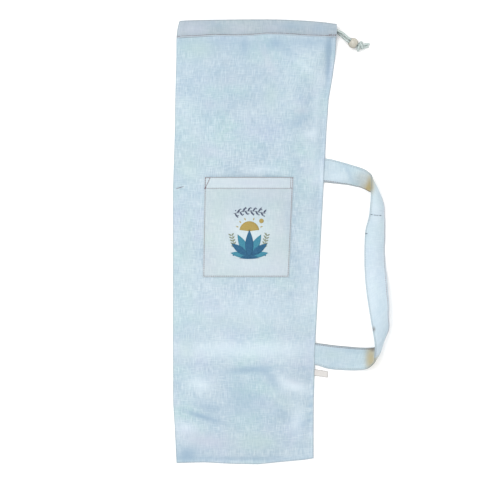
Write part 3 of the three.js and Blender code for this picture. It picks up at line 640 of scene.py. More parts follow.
mouthEdge = np.array([  # across; how far the casing's top and its stitches lie down, in its height
    (0, 0.15, 1.27), (0.05, 0.13, 1.24), (0.118, 0.11, 1.2), (0.225, 0.09, 1.14), (0.367, 0.07, 1.15),
    (0.473, 0.06, 1.11), (0.56, 0.06, 1.01), (0.65, 0.07, 1.05), (0.78, 0.13, 1.13), (0.86, 0.19, 1.165),
    (0.93, 0.26, 1.19), (1, 0.36, 1.2),
])
# Soft folds and hollows: across, along, length and width in the bag's width, turn, share of relief.
frontFolds = [
    (0.4, 0.213, 0.3, 0.06, 5, -0.8), (0.14, 0.11, 0.2, 0.05, -19, -0.6),
    (0.75, 0.165, 0.18, 0.12, 20, 0.9), (0.84, 0.1, 0.16, 0.05, 28, -0.9),
    (0.86, 0.175, 0.14, 0.045, -8, -0.8), (0.2, 0.3, 0.12, 0.2, 60, 0.5),
    (0.93, 0.88, 0.3, 0.045, 86, -1), (0.78, 0.8, 0.28, 0.07, 118, 0.8),
    (0.6, 0.76, 0.3, 0.06, 112, -0.7), (0.3, 0.82, 0.35, 0.08, 84, 0.6),
]
# Sharper creases: x, y, half length and half width in millimetres, turn, height in millimetres.
creases = [
    (-16, 147, 46, 3.5, -7, -0.7), (-14, 153, 44, 5, -7, 0.6), (-86, 76, 32, 3, -19, -0.5),
    (-84, 81, 30, 4, -19, 0.4), (122, 628, 42, 4, 88, -0.9), (113, 630, 40, 5, 86, 0.5),
    (60, 116, 26, 6, 12, 0.8), (40, 92, 30, 5, 38, -0.6), (-92, 26, 22, 6, 8, -0.7),
    (84, 556, 34, 5, 52, -0.5), (70, 596, 30, 4, 58, 0.4), (20, 636, 30, 5, 70, -0.4),
    (-40, 628, 26, 5, 100, 0.35), (30, 218, 60, 7, 4, 0.4), (-70, 224, 40, 6, -12, -0.35),
]
swells = [(120, 3, 0.75), (48, 8, 0.35), (19, 15, 0.1)]  # soft noise: size, seed and height in millimetres
seamPuckers = [  # y, width, depth
    (124.6, 12, 1.0), (107, 10, 1.1), (93, 9, 1.2), (79, 9, 1.0), (69.4, 8, 0.8),
]
tucks = [  # what is sewn into the right seam: y, width and how much it raises the front
    {"y": 174.0, "width": 38.0, "rise": 2.3}, {"y": 463.0, "width": 38.0, "rise": 2.3},
    {"y": 146.0, "width": 10.0, "rise": 1.1},
]


def leftEdge(y):
    return -bag["width"] * np.interp(y / bag["length"], outline[:, 0], outline[:, 1])


def rightEdge(y):
    return bag["width"] * np.interp(y / bag["length"], outline[:, 0], outline[:, 2])


def bottomLine(across):
    return bag["width"] * np.interp(across, bottomEdge[:, 0], bottomEdge[:, 1])


def casingTop(across):
    return bag["length"] - casing["height"] * np.interp(across, mouthEdge[:, 0], mouthEdge[:, 1])


def casingLow(across):  # the lip stands below the stitches
    stitched = bag["length"] - casing["height"] * np.interp(across, mouthEdge[:, 0], mouthEdge[:, 2])
    return stitched - casing["stitchUp"]


def bagRim(across):  # the body's own rim, hidden under the casing
    return casingLow(across) - casing["under"]


def frontRun(across):
    edge = np.where(across < 0.5, casing["foldGap"], casing["endGap"])
    arch = np.sin(math.pi * np.clip(across, 0, 1)) ** 0.7
    return 1.5 * casing["thickness"] + mix(edge, casing["mouthGap"], arch)


pocket = {
    "left": -74.2, "lean": 2.7, "width": 140.1, "taper": 4.7, "top": 452.0, "height": 157.2, "hem": 19.0,
    "gape": 2.8, "calm": 40.0, "thickness": 0.6, "allowance": 8.0, "step": 2.5,
    "sideCalm": (4.0, 26.0), "sideShare": 0.45, "billows": [(60, 21, 0.35), (24, 22, 0.15)],
    "seat": 0.15, "turnedRise": 0.3, "hemRise": 0.5, "stitchIn": 1.8,
}


def swellAt(x, y, rows):
    return sum(height * softNoise(x, y, size, seed) for size, seed, height in rows)


def frontRelief(x, y):
    width, length = bag["width"], bag["length"]
    rows = []
    for across, along, long, wide, turn, height in frontFolds:
        left, right = leftEdge(along * length), rightEdge(along * length)
        rows.append((mix(left, right, across), along * length, long * width, wide * width, turn, height))
    soft = bag["reliefHeight"] * blotField(x, y, rows) + blotField(x, y, creases)
    return soft + swellAt(x, y, swells)


def bagHeights(x, y):
    left, right = leftEdge(y), rightEdge(y)
    across = np.clip((x - left) / (right - left), 0, 1)
    fromFold, fromEdge = x - left, right - x
    fromSeam = fromEdge - bag["seam"]
    rim = bagRim(across)
    nearMouth = smoothStep(y, rim - bag["mouthRise"], rim)
    backLift = smoothStep(y, rim - bag["backRise"], rim)
    fromLow = y - bottomLine(across)
    fromBottom = easeOut((fromLow - bag["seam"]) / bag["edgeRise"])
    fromPocket = np.maximum(pocket["top"] - pocket["height"] - y, y - pocket["top"])
    calm = smoothStep(fromPocket, 0, pocket["calm"])
    beside = np.maximum(pocket["left"] - x, x - pocket["left"] - pocket["width"])
    calm = np.maximum(calm, pocket["sideShare"] * smoothStep(beside, *pocket["sideCalm"]))

    turn = mix(mix(bag["seamHeight"], bag["foldHeight"], fromBottom),
               casing["thickness"] + casing["foldGap"] + bag["cloth"], nearMouth)
    lift = backLift * (casing["thickness"] - bag["cloth"]) / 2
    crown = mix(bag["frontHeight"], frontRun(across) + bag["cloth"] / 2, nearMouth)
    seamAtMouth = (casing["thickness"] / 2 + frontRun(1.0) - bag["seamHeight"]) / 2
    seamLift = backLift * seamAtMouth

    seamRise = mix(bag["edgeRise"], bag["seam"] * 2, nearMouth)
    rise = easeOut(fromSeam / seamRise)
    spread = mix(turn + lift, crown, easeOut((fromFold - turn / 2) / bag["edgeRise"]))
    relief = frontRelief(x, y) * calm * smoothStep(fromFold / bag["edgeRise"]) * fromBottom
    relief = relief * easeOut(fromSeam / 30) * (1 - nearMouth ** 2)
    seamTop = seamLift + bag["seamHeight"]
    for tuck in tucks:
        near = smoothStep(tuck["width"] / 2 + 10 - np.abs(y - tuck["y"]), 0, 10)
        seamTop = seamTop + tuck["rise"] * near * smoothStep(fromEdge, 20, 4)
    top = mix(seamTop, spread, rise * mix(fromBottom, 1, nearMouth)) + relief

    ridge, low = (bag["seamRidge"] * (1 - smoothStep(distance, middle - 1, middle + 1))
                  for distance, middle in ((fromEdge, bag["ridgeIn"]), (fromLow, bag["bottomRidgeIn"])))
    top = top + np.maximum(ridge * (1 - nearMouth), low)
    top = top + swellAt(y, 0 * y, [bag["seamWave"]]) * np.exp(-fromEdge / 9) * (1 - nearMouth)
    pucker = sum(h * np.exp(-((y - cy - 0.12 * fromEdge) / (0.3 * w)) ** 2) for cy, w, h in seamPuckers)
    top = top - bag["puckerDepth"] * pucker * np.exp(-np.abs(fromEdge - 9) / 10) * smoothStep(fromEdge, 0, 5)
    bottom = mix(seamLift, lift, easeOut(fromSeam / (2 * bag["seam"])))
    return top, bottom, turn, lift


def bagTop(x, y):
    return bagHeights(x, y)[0]


bodyBlots = {  # uneven dye, with painted shade in the folds and creases and painted light on the rises
    "dyeDarkAndShade": [
        (123, 632, 40, 4.2, 88, 1.0), (122, 655, 14, 7, 80, 0.4), (-9, 654, 18, 6, 90, 0.5),
        (41, 662, 8, 7, 0, 0.5), (61, 646, 14, 5, -25, 0.4), (96, 664, 20, 8, 0, 0.4),
        (85, 544, 20, 6, 25, 0.45), (63, 528, 18, 5, 15, 0.25), (109, 481, 40, 8, 90, 0.25),
        (104, 400, 50, 9, 90, 0.1), (0, 150, 38, 6, 4, 0.85), (35, 134, 20, 8, -50, 0.65),
        (-17, 118, 24, 20, 90, 0.45), (-74, 76, 32, 4.5, -17, 1.0), (-66, 91, 20, 8, -10, 0.6),
        (2, 93, 38, 22, 0, 0.4), (-98, 17, 18, 13, 15, 1.0), (-8, 9, 110, 3.5, 0, 0.6),
        (-10, 662, 150, 15, 0, 0.5), (-10, 590, 150, 60, 0, 0.17),
        (82, 63, 11, 5, 40, 0.6), (70, 48, 9, 4, 35, 0.45), (52, 80, 14, 7, -40, 0.45),
        (99, 121, 5, 2, 20, 0.8), (98, 107, 5, 2, 20, 0.8), (96, 93, 5, 2.2, 25, 0.9),
        (95, 80, 5, 2, 20, 0.8), (94, 69, 5, 2, 20, 0.7), (88, 152, 14, 4, 8, 0.4),
    ],
    "fadeAndPaintedLight": [
        (-27, 181, 105, 15, 0, 0.6), (0, 240, 110, 28, 0, 0.3), (90, 300, 90, 14, 90, 0.3),
        (95, 520, 11, 6, 20, 0.6), (87, 624, 26, 5, -35, 0.35),
        (113.5, 448, 22, 4, 90, 0.6), (20, 464, 26, 6, 4, 0.4), (-80, 128, 20, 12, -20, 0.5),
        (68, 125, 24, 9, -20, 0.95), (74, 70, 28, 11, 90, 0.5), (-102, 58, 15, 8, -10, 0.5),
        (104, 560, 60, 6, 88, 0.35), (60, 182, 40, 16, 0, 0.3), (116, 352, 60, 4, 88, 0.4),
        (98, 470, 60, 14, 90, 0.25),
    ],
    "greened": [
        (-79, 653, 24, 14, 0, 0.6), (33, 579, 22, 11, 90, 0.5), (11, 36, 34, 14, 0, 0.6),
        (-101, 181, 16, 22, 0, 0.5), (-96, 470, 20, 26, 0, 0.4), (-30, 226, 60, 16, 0, 0.35),
        (-98, 340, 70, 12, 90, 0.35), (50, 100, 20, 10, -30, 0.3),
    ],
    "lilacked": [
        (27, 637, 26, 8, -65, 0.55), (-65, 566, 10, 9, 0, 0.45), (79, 556, 13, 5, 0, 0.5),
        (-71, 490, 14, 13, 0, 0.45), (-71, 39, 38, 12, -8, 0.8), (94, 172, 30, 12, 90, 0.4),
        (70, 130, 14, 6, -20, 0.4), (-40, 600, 16, 10, 30, 0.3),
    ],
}


# One skin of the bag as rings, each from the right edge over the front, round the fold and back.
def bagSkin(wall, seamInset, bottomInset, rowStep):
    tall, wide = float(casingLow(0.5)), bag["width"] - 10
    rows = spaced(0, tall, rowStep, (0.2, 0.6, 1.2, 2.6)) / tall
    front = 1 - spaced(0, wide, bag["step"], (1.3, 3.7, 6.2)) / wide
    back = spaced(0, wide, bag["backStep"]) / wide
    foldTurn = np.radians(np.linspace(90, 270, 11))[1:-1]
    edgeTurn = np.radians(np.linspace(-90, 90, 7))[1:-1]
    share = np.concatenate([front, 0 * foldTurn, back, 0 * edgeTurn + 1])[None]
    part = np.repeat(np.arange(4), [len(front), len(foldTurn), len(back), len(edgeTurn)])[None]
    sweep = np.concatenate([0 * front, foldTurn, 0 * back, edgeTurn])[None]
    startY = bottomLine(share) + bottomInset
    y = mix(startY, bagRim(share), rows[:, None])
    left, right = leftEdge(y) + wall, rightEdge(y) - seamInset
    turn, lift = bagHeights(left, y)[2:]
    radius = turn / 2 - wall
    edgeTop, edgeBottom = bagHeights(right, y)[:2]
    edgeHalf = np.maximum((edgeTop - edgeBottom) / 2 - wall, 0.2)
    x = mix(left + radius, right - edgeHalf, share)
    top, bottom = bagHeights(x, y)[:2]
    top, bottom = top - wall, bottom + wall
    z = np.where(part == 0, np.maximum(top, bottom + 0.3), bottom)
    x = np.where(part == 1, left + radius + radius * np.cos(sweep), x)
    z = np.where(part == 1, lift + turn / 2 + radius * np.sin(sweep), z)
    x = np.where(part == 3, right - edgeHalf + edgeHalf * np.cos(sweep), x)
    z = np.where(part == 3, (edgeTop + edgeBottom) / 2 + edgeHalf * np.sin(sweep), z)
    middle, fromLow = bag["seamHeight"] / 2, y - startY
    z = np.where(fromLow < middle, middle + (z - middle) * roundEdge(fromLow, middle), z)
    points = np.stack([x, y + 0 * x, z], -1)
    u = np.broadcast_to(130 - runAlong(points[len(points) // 2]), x.shape)
    return points, u, y + 0 * x, np.full(len(points), u[0, -1] - 1.0)


def addBody():
    outer, u, v, end = bagSkin(0, 0, 0, bag["step"])
    inner, innerU, innerV, innerEnd = bagSkin(bag["wall"], bag["seam"], bag["seam"], bag["innerStep"])
    rows, columns = outer.shape[:2]
    innerRows, start = len(inner), rows * columns
    rimOuter = np.arange(columns) + (rows - 1) * columns
    rimInner = start + np.arange(columns) + (innerRows - 1) * columns
    rim = np.stack([rimOuter, np.roll(rimOuter, -1), np.roll(rimInner, -1), rimInner], -1)
    faces = np.concatenate([gridFaces(rows, columns, closed=True),
                            gridFaces(innerRows, columns, start, closed=True, flip=True), rim])
    rimUv = gridUv(np.stack([u[-1], u[-1]]), np.stack([v[-1], v[-1] + 1]), np.array([end[-1]] * 2))
    faceUv = np.concatenate([gridUv(u, v, end), gridUv(innerU, innerV + 40, innerEnd, flip=True), rimUv])
    points = np.concatenate([outer.reshape(-1, 3), inner.reshape(-1, 3)])
    points[:, 2] = np.maximum(points[:, 2], bag["restHeight"])
    x, y = points[:, 0], points[:, 1]
    values = blotFields(x, y, bodyBlots)
    across = (x - leftEdge(y)) / (rightEdge(y) - leftEdge(y))
    fromSide = np.minimum(x - leftEdge(y), rightEdge(y) - x)
    # Painted shade: a darker line along the side and bottom edges.
    values["paintedEdgeShade"] = np.maximum(0.6 * edgeShare(fromSide), 0.5 * edgeShare(y - bottomLine(across), 1.8))
    return addPiece("bagCloth", points, faces, bodyCloth, faceUv=faceUv / 1000, values=values, join=2e-5)


bodyPiece = addBody()
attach(bodyPiece, "root")
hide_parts("bag_body")
print("bag body made")

# Casing


mouthLeft, mouthRight = float(leftEdge(bag["length"])), float(rightEdge(bag["length"]))
mouthTurn = (casing["thickness"] + casing["foldGap"]) / 2
turnX = mouthLeft + bag["cloth"] / 2 + mouthTurn
loopSteps = 60
# Steps up the casing, finer at its rims and its stitches, as shares of its height.
casingShares = np.array([0, 0.012, 0.035, 0.07, 0.1, 0.125, 0.16, 0.22, 0.3, 0.4, 0.5, 0.6, 0.7, 0.79,
                         0.87, 0.93, 0.965, 0.99, 1])
casingBlots = {
    "lilacked": [(-88, 682, 24, 9, 0, 0.6), (-20, 682, 20, 8, 0, 0.4), (34, 684, 16, 6, 0, 0.35)],
    "dyeDarkAndShade": [(66, 688, 26, 8, 0, 0.5), (110, 684, 14, 8, 0, 0.45), (-50, 690, 20, 5, 0, 0.25)],
}


def mouthAcross(x):
    return (x - mouthLeft) / (mouthRight - mouthLeft)


def foldArc(turn):  # x and z of the casing's middle round the fold
    return turnX - mouthTurn * np.sin(turn), casing["thickness"] / 2 + mouthTurn * (1 + np.cos(turn))


def foldLean(across, share):  # how far the pressed fold leans in, this share of the casing's height up
    return casing["foldSlant"] * smoothStep(across, 0.14, 0) * share


# Sections round the mouth: x and z of the casing's middle, its outward direction, and its run.
def casingStations():
    front = spaced(turnX, mouthRight, casing["step"], (0.3, 0.9))[::-1]
    back = spaced(turnX, mouthRight, casing["backStep"], (0.3, 0.9))
    turn = np.linspace(0, math.pi, 15)[1:-1]
    foldX, foldZ = foldArc(turn)
    x = np.concatenate([front, foldX, back])
    z = np.concatenate([frontRun(mouthAcross(front)), foldZ, 0 * back + casing["thickness"] / 2])
    outX = np.concatenate([0 * front, -np.sin(turn), 0 * back])
    outZ = np.concatenate([0 * front + 1, np.cos(turn), 0 * back - 1])
    return x, z, outX, outZ, runAlong(np.stack([x, z], -1)), len(front)


def lipDrop(x, across, up):  # how far the casing's lip sinks to meet the body below it
    gap = frontRun(across) - bagTop(x, bagRim(across)) + casing["lipSink"]
    return np.maximum(gap, 0) * np.clip(1 - up / casing["lipReach"], 0, 1) ** 2


def casingSkin(lowInset, highInset, edgeHalf, middleHalf, isOuter):
    *station, frontCount = casingStations()
    x, z, outX, outZ, run = (value[:, None] for value in station)
    across, loop = mouthAcross(x), np.concatenate([casingShares, casingShares[::-1][1:-1]])[None]
    side = np.where(np.arange(loop.size) < len(casingShares), 1, -1)[None]
    pressed = np.abs(outX) ** 0.6
    middleHalf = mix(middleHalf, casing["foldHalf"] - (0 if isOuter else 0.55), pressed)
    edgeHalf = mix(edgeHalf, 0.6 if isOuter else 0.3, pressed)
    low, high = casingLow(across) + lowInset, casingTop(across) - highInset
    tall = high - low
    half = edgeHalf + (middleHalf - edgeHalf) * np.sin(math.pi * loop)
    if isOuter:
        rounded = roundEdge(np.minimum(loop, 1 - loop) * tall, casing["rimRound"])
        fromStitch = loop * tall - casing["stitchUp"]
        groove = casing["groove"] * np.exp(-(fromStitch / 0.8) ** 2)
        pleat = np.sin(2 * math.pi * run / casing["puckerWave"] + 1.5 * softNoise(run, 0 * run, 40, 4))
        pucker = casing["pucker"] * pleat * np.exp(-((fromStitch - 3) / 4) ** 2)
        rumple = casing["rumple"] * softNoise(run, loop * tall * 0.35, 22, 9) * np.sin(math.pi * loop)
        half = half * rounded + np.where(side > 0, pucker + rumple - groove, 0) * rounded
    y = mix(low, high, loop)
    up = y - casingLow(across)
    isFront = (np.arange(len(x)) < frontCount)[:, None]
    drop = np.where(isFront, lipDrop(x, across, up), 0)
    lean = foldLean(across, up / tall)
    points = np.stack([x + lean + side * half * outX, y, z - drop + side * half * outZ], -1)
    return points, run + 0 * y, y


def addCasing():
    half = casing["thickness"] / 2
    outer, u, v = casingSkin(0, 0, casing["rim"], half, True)
    inner, innerU, innerV = casingSkin(casing["lip"], 1.0, casing["innerRim"], half - 1, False)
    stations, count = outer.shape[:2]
    start = stations * count
    ends = []
    for station, order in ((0, 1), (stations - 1, -1)):
        out = station * count + np.arange(count)
        ring = np.stack([out, start + out, np.roll(start + out, -1), np.roll(out, -1)], -1)
        ends.append(ring[:, ::order])
    faces = np.concatenate([gridFaces(stations, count, closed=True),
                            gridFaces(stations, count, start, closed=True, flip=True), *ends])
    points = np.concatenate([outer.reshape(-1, 3), inner.reshape(-1, 3)])
    points[:, 2] = np.maximum(points[:, 2], bag["restHeight"])
    uv = np.stack([np.concatenate([u, innerU]).ravel(), np.concatenate([v, innerV]).ravel()], -1) / 1000
    x, y = outer[..., 0], outer[..., 1]
    across = mouthAcross(x)
    fromTop = np.minimum(casingTop(across) - y, x - x.min(axis=0))
    values = blotFields(x, y, casingBlots)
    # Painted shade: a darker line along the casing's top and its folded end.
    values["paintedEdgeShade"] = 0.9 * edgeShare(fromTop, 1.7)
    # Painted light: paler along the casing's lip, lifting the shade under it.
    values["fadeAndPaintedLight"] = 0.7 * edgeShare(y - casingLow(across), 1.6)
    values = {key: np.concatenate([value, 0 * value]).ravel() for key, value in values.items()}
    return addPiece("mouthCasingCloth", points, faces, casingCloth, uv=uv, values=values, join=2e-5)


casingPiece = addCasing()
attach(casingPiece, "root")
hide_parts("mouth_casing")
print("casing made")


# The stretch of cord inside the casing, squeezed flat where the mouth is pressed at its fold.
def addLoop():
    turn = np.linspace(0, math.pi, 25)[1:-1]
    foldX, foldZ = foldArc(turn)
    front = np.linspace(mouthRight - 1.7, turnX, loopSteps)
    x = np.concatenate([front, foldX, front[::-1]])
    across = mouthAcross(x)
    low = casingLow(across)
    x = x + foldLean(across, (mouthEnd[1] - low) / (casingTop(across) - low))
    z = np.concatenate([frontRun(mouthAcross(front)), foldZ, np.full(loopSteps, casing["thickness"] / 2)])
    nearEnd = smoothStep(x[:loopSteps], mouthRight - 30, mouthRight - 4)
    z[:loopSteps] = mix(z[:loopSteps], upperPath[0][2], nearEnd)
    pressed = np.concatenate([0 * front, np.sin(turn), 0 * front]) ** 0.6
    pressed = np.maximum(pressed, smoothStep(x, turnX + 12, turnX))
    sizes = mix(cord["diameter"], cord["pressed"], pressed)
    path = np.stack([x, mouthEnd[1] - smoothStep(z, 11, 3.5), z], -1)
    return addTubes("drawcordLoop", [path], diameters=[sizes[:, None]])


loopPiece = addLoop()
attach(loopPiece, "root")
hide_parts("drawcord_loop")

# Pocket


def pocketLeftAt(up):  # this share of the pocket's height up
    return pocket["left"] + pocket["lean"] * up


def pocketWidthAt(up):
    return pocket["width"] - pocket["taper"] * (1 - up)


def pocketShares(x, y):
    up = 1 - (pocket["top"] - y) / pocket["height"]
    return (x - pocketLeftAt(up)) / pocketWidthAt(up), up


def pocketUnder(x, y):
    across, up = pocketShares(x, y)
    arch = np.sin(math.pi * np.clip((across - 0.03) / 0.94, 0, 1)) ** 0.9
    opening = 1 - (1 - np.clip((up - 0.04) / 0.96, 0, 1)) ** 3
    gape = pocket["gape"] + swellAt(x, y, pocket["billows"])
    return bagTop(x, y) + pocket["seat"] + gape * arch * opening


def pocketThickness(x, y):
    across, up = pocketShares(x, y)
    fromSide = np.minimum(across, 1 - across) * pocket["width"]
    fromBottom, fromTop = up * pocket["height"], (1 - up) * pocket["height"]
    turned = (smoothStep(distance, pocket["allowance"] + 0.7, pocket["allowance"] - 0.7)
              for distance in (fromSide, fromBottom))
    hem = pocket["hemRise"] * smoothStep(fromTop, pocket["hem"] + 0.8, pocket["hem"] - 0.8)
    return pocket["thickness"] + np.maximum(pocket["turnedRise"] * np.maximum(*turned), hem)


def pocketTopAt(x, y):
    return pocketUnder(x, y) + pocketThickness(x, y)


pocketBlots = {
    "dyeDarkAndShade": [(0, 412, 60, 26, 0, 0.3), (60, 380, 40, 8, 90, 0.35), (-20, 330, 50, 14, 0, 0.1)],
    "fadeAndPaintedLight": [(-40, 350, 20, 40, 0, 0.2), (0, 365, 34, 44, 0, 0.35), (10, 310, 60, 14, 0, 0.3)],
    "greened": [(-50, 400, 14, 30, 0, 0.4), (24, 340, 26, 26, 0, 0.3), (-20, 300, 40, 8, 0, 0.3)],
    "lilacked": [(30, 425, 30, 8, 0, 0.3), (-34, 372, 10, 20, 0, 0.3), (10, 443, 50, 6, 0, 0.6),
                 (40, 330, 16, 40, 0, 0.3), (10, 305, 50, 8, 0, 0.3)],
}


def addPocket():
    near, hemLine = (0.1, 0.3, 0.7, 1.5), pocket["height"] - pocket["hem"]
    up = spaced(0, pocket["height"], pocket["step"], near)
    up = np.unique(np.concatenate([up, hemLine + np.array([-1, -0.4, 0, 0.4, 1])]))
    across = spaced(0, pocket["width"], pocket["step"], near)
    acrossShare, upShare = np.meshgrid(across / pocket["width"], up / pocket["height"])
    y = pocket["top"] - (1 - upShare) * pocket["height"]
    x = pocketLeftAt(upShare) + acrossShare * pocketWidthAt(upShare)
    under, thick = pocketUnder(x, y), pocketThickness(x, y)
    fromTop, fromBottom = (1 - upShare) * pocket["height"], upShare * pocket["height"]
    fromLow = np.minimum(np.minimum(acrossShare, 1 - acrossShare) * pocket["width"], fromBottom)
    half = thick / 2 * roundEdge(np.minimum(fromLow, fromTop), 0.7)
    middle = np.stack([x, y, under + thick / 2], -1)
    values = blotFields(x, y, pocketBlots)
    # Painted shade: a darker line along the pocket's top, fainter along its sides and bottom.
    values["paintedEdgeShade"] = np.maximum(0.5 * edgeShare(fromTop, 1.2), 0.22 * edgeShare(fromLow, 1.2))
    values["fadeAndPaintedLight"] = values["fadeAndPaintedLight"] + 0.3 * smoothStep(fromTop, pocket["hem"], pocket["hem"] - 2)
    normal = np.broadcast_to(upright, middle.shape)
    return addSheet("pocketCloth", middle, normal, half, x, y, pocketCloth, values)


pocketPiece = addPocket()
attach(pocketPiece, "root")
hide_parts("pocket_panel")
print("pocket made")

# A plain lotus under a half sun, with leaf sprigs and a leaf garland, printed on the pocket.
printing = {
    "lowLift": 0.07, "lift": 0.14, "topLift": 0.2,  # the colours are printed one over another
    "thickness": 0.05, "centre": np.array((-1.0, 366.0)),
}
petals = [  # foot x, y, lean in degrees, length, width
    (0, -41, 0, 44, 13), (-12.5, -38.5, -90, 25, 5.5), (-1.5, -36, 28, 36, 12), (1.5, -36, -28, 36, 12),
    (-3, -36.5, 54, 31, 10.5), (3, -36.5, -54, 31, 10.5), (-4, -38, 79, 26, 8.5), (4, -38, -79, 26, 8.5),
    (-16, -41, -90, 32, 3.2),
]
sprigs = [(-23, -24, 14, 1), (23, -24, -14, -1)]  # foot x, y, lean, side


# A leaf or petal as a strip of quads, pointed at both ends, with its rim closed to a thin film.
def leafStrip(x, y, lean, length, width, belly=0.45, rows=12):
    t = np.linspace(0, 1, rows)
    wide = width / 2 * np.sin(math.pi * t ** (math.log(0.5) / math.log(belly))) ** 0.9
    aim = aimAt(math.radians(90 + lean))
    side = np.array([-aim[1], aim[0]])
    line = printing["centre"] + (x, y) + aim * (t * length)[:, None]
    return line[:, None] + side * (np.linspace(-1, 1, 5)[:, None] * wide[:, None, None])


def discGrid(x, y, radius, start=0.0, end=2 * math.pi, columns=20):
    angle = np.linspace(start, end, columns)
    rings = np.linspace(0.02, 1, 4)[:, None] * radius
    return printing["centre"] + (x, y) + np.stack([rings * np.cos(angle), rings * np.sin(angle)], -1)


def addPrint(name, grids, material, lift):
    points, faces, start = [], [], 0
    for grid in grids:
        rows, columns = grid.shape[:2]
        x, y, count = grid[..., 0], grid[..., 1], rows * columns
        low = pocketTopAt(x, y) + lift
        points += [np.stack([x, y, z], -1).reshape(-1, 3) for z in (low + printing["thickness"], low)]
        faces += [gridFaces(rows, columns, start), gridFaces(rows, columns, start + count, flip=True)]
        edge = np.concatenate([np.arange(columns), np.arange(1, rows) * columns + columns - 1,
                               (rows - 1) * columns + np.arange(columns - 1)[::-1],
                               np.arange(1, rows - 1)[::-1] * columns])
        after = np.roll(edge, -1)
        faces.append(start + np.stack([edge, edge + count, after + count, after], -1))
        start += 2 * count
    points = np.concatenate(points)
    piece = addPiece(name, points, np.concatenate(faces), material, uv=points[:, :2] / 1000, join=0)
    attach(piece, "root")


sun = {"place": (0, 1), "radius": 15.5, "rays": 18, "raySize": (4.5, 1.8)}
bluePrint = [leafStrip(*petals[i]) for i in (0, 1, 4, 5, 8)]
tealPrint = [leafStrip(*petals[i]) for i in (2, 3, 6, 7)]
bluePrint += [discGrid(0, -25, 2.2), discGrid(-25, -37, 1.0), discGrid(25, -37, 1.0)]
ochrePrint = [discGrid(*sun["place"], sun["radius"], 0.12, math.pi - 0.12, 30), discGrid(18.9, 17, 3.6)]
for turn in (20, 70, 110, 135, 160):
    foot = sun["place"] + aimAt(math.radians(turn)) * sun["rays"]
    ochrePrint.append(leafStrip(*foot, turn - 90, *sun["raySize"]))
olivePrint, navyPrint = [], []
for x, y, lean, side in sprigs:
    olivePrint.append(leafStrip(x, y - 3, lean - side * 4, 26, 0.9, 0.5))
    for i in range(5):
        foot = (x, y) + aimAt(math.radians(90 + lean)) * 4.6 * i
        for spread, length, width in ((50, 6.4, 2.3), (-50, 5.4, 2.1)):
            olivePrint.append(leafStrip(*foot, lean + spread, length, width, rows=6))
for i, x in enumerate(np.linspace(-23, 22, 12)):  # the garland's leaves, stem and berries
    y = 29.5 + 3.2 * math.cos(x / 13)
    navyPrint.append(leafStrip(x, y, -38 if i % 2 else -142, 7.6 if i % 3 else 9.5, 2.7, rows=8))
    navyPrint.append(leafStrip(x - 2.4, y, -90 - (3 if i % 2 else -3), 6.2, 0.9, 0.5, rows=4))
    navyPrint.append(discGrid(x + 1.5, y + (-4.6 if i % 2 else 4.4), 0.9, columns=12))
addPrint("pocketPrintOchre", ochrePrint, inks["Ochre"], printing["lowLift"])
for inkName, grids in (("Olive", olivePrint), ("Navy", navyPrint), ("Teal", tealPrint)):
    addPrint("pocketPrint" + inkName, grids, inks[inkName], printing["lift"])
addPrint("pocketPrintBlue", bluePrint, inks["Blue"], printing["topLift"])
print("print made")

# Strap


strap = {
    "width": 38.0, "thickness": 2.0, "span": 289.0, "reach": 100.0, "curl": 30.0, "fromBottom": 174.0,
    "tuck": 5.0, "stepsPerPoint": 10, "stitchIn": 2.6, "ripple": 0.35, "rippleWave": 17.0, "groove": 0.22,
    "clear": 0.06, "threadLift": 0.82, "tackLift": 0.4,
}
# Sections from the lower seam end to the upper one: place as shares of reach, span and curl, the
# vector across as shares of the width, and the section's arch.
strapSections = [
    (0, 0, 0.077, 0, -0.9, 0, 0), (0.22, -0.016, 0.045, 0, -1, 0, 0),
    (0.46, -0.024, 0.045, 0, -0.99, 0, 0), (0.7, -0.028, 0.08, -0.2, -0.93, 0.05, 0),
    (0.84, -0.024, 0.175, -0.2, -0.87, 0.22, 0.04), (0.925, -0.012, 0.33, -0.29, -0.79, 0.42, 0.06),
    (0.985, 0.012, 0.5, -0.38, -0.77, 0.5, 0.06), (1.01, 0.052, 0.68, -0.5, -0.76, 0.45, 0.05),
    (1.028, 0.1, 0.76, -0.62, -0.74, 0.3, 0.05), (1.006, 0.16, 0.76, -0.65, -0.76, 0.1, 0.05),
    (0.982, 0.226, 0.63, -0.75, -0.66, -0.05, 0.06), (0.945, 0.304, 0.47, -0.8, -0.56, -0.13, 0.08),
    (0.908, 0.39, 0.29, -0.86, -0.3, -0.17, 0.12), (0.882, 0.462, 0.12, -0.86, -0.08, -0.05, 0.18),
    (0.86, 0.554, 0.045, -0.84, 0, 0, 0.21), (0.854, 0.62, 0.045, -0.84, 0, 0, 0.21),
    (0.85, 0.682, 0.14, -0.8, -0.03, 0.02, 0.2), (0.858, 0.747, 0.3, -0.67, -0.03, 0.22, 0.18),
    (0.852, 0.804, 0.47, -0.6, 0.13, 0.36, 0.15), (0.847, 0.842, 0.53, -0.56, 0.4, 0.4, 0.12),
    (0.838, 0.87, 0.545, -0.5, 0.68, 0.44, 0.08), (0.82, 0.9, 0.51, -0.42, 0.74, 0.5, 0.04),
    (0.785, 0.919, 0.47, -0.26, 0.76, 0.58, 0), (0.71, 0.934, 0.43, -0.1, 0.78, 0.6, -0.04),
    (0.6, 0.955, 0.35, 0.03, 0.76, 0.55, -0.08), (0.43, 0.972, 0.22, 0.02, 0.82, 0.36, -0.12),
    (0.25, 0.986, 0.11, 0, 0.91, 0.16, -0.08), (0.1, 0.996, 0.06, 0, 0.98, 0, -0.02),
    (0, 1, 0.077, 0, 0.98, 0, 0),
]
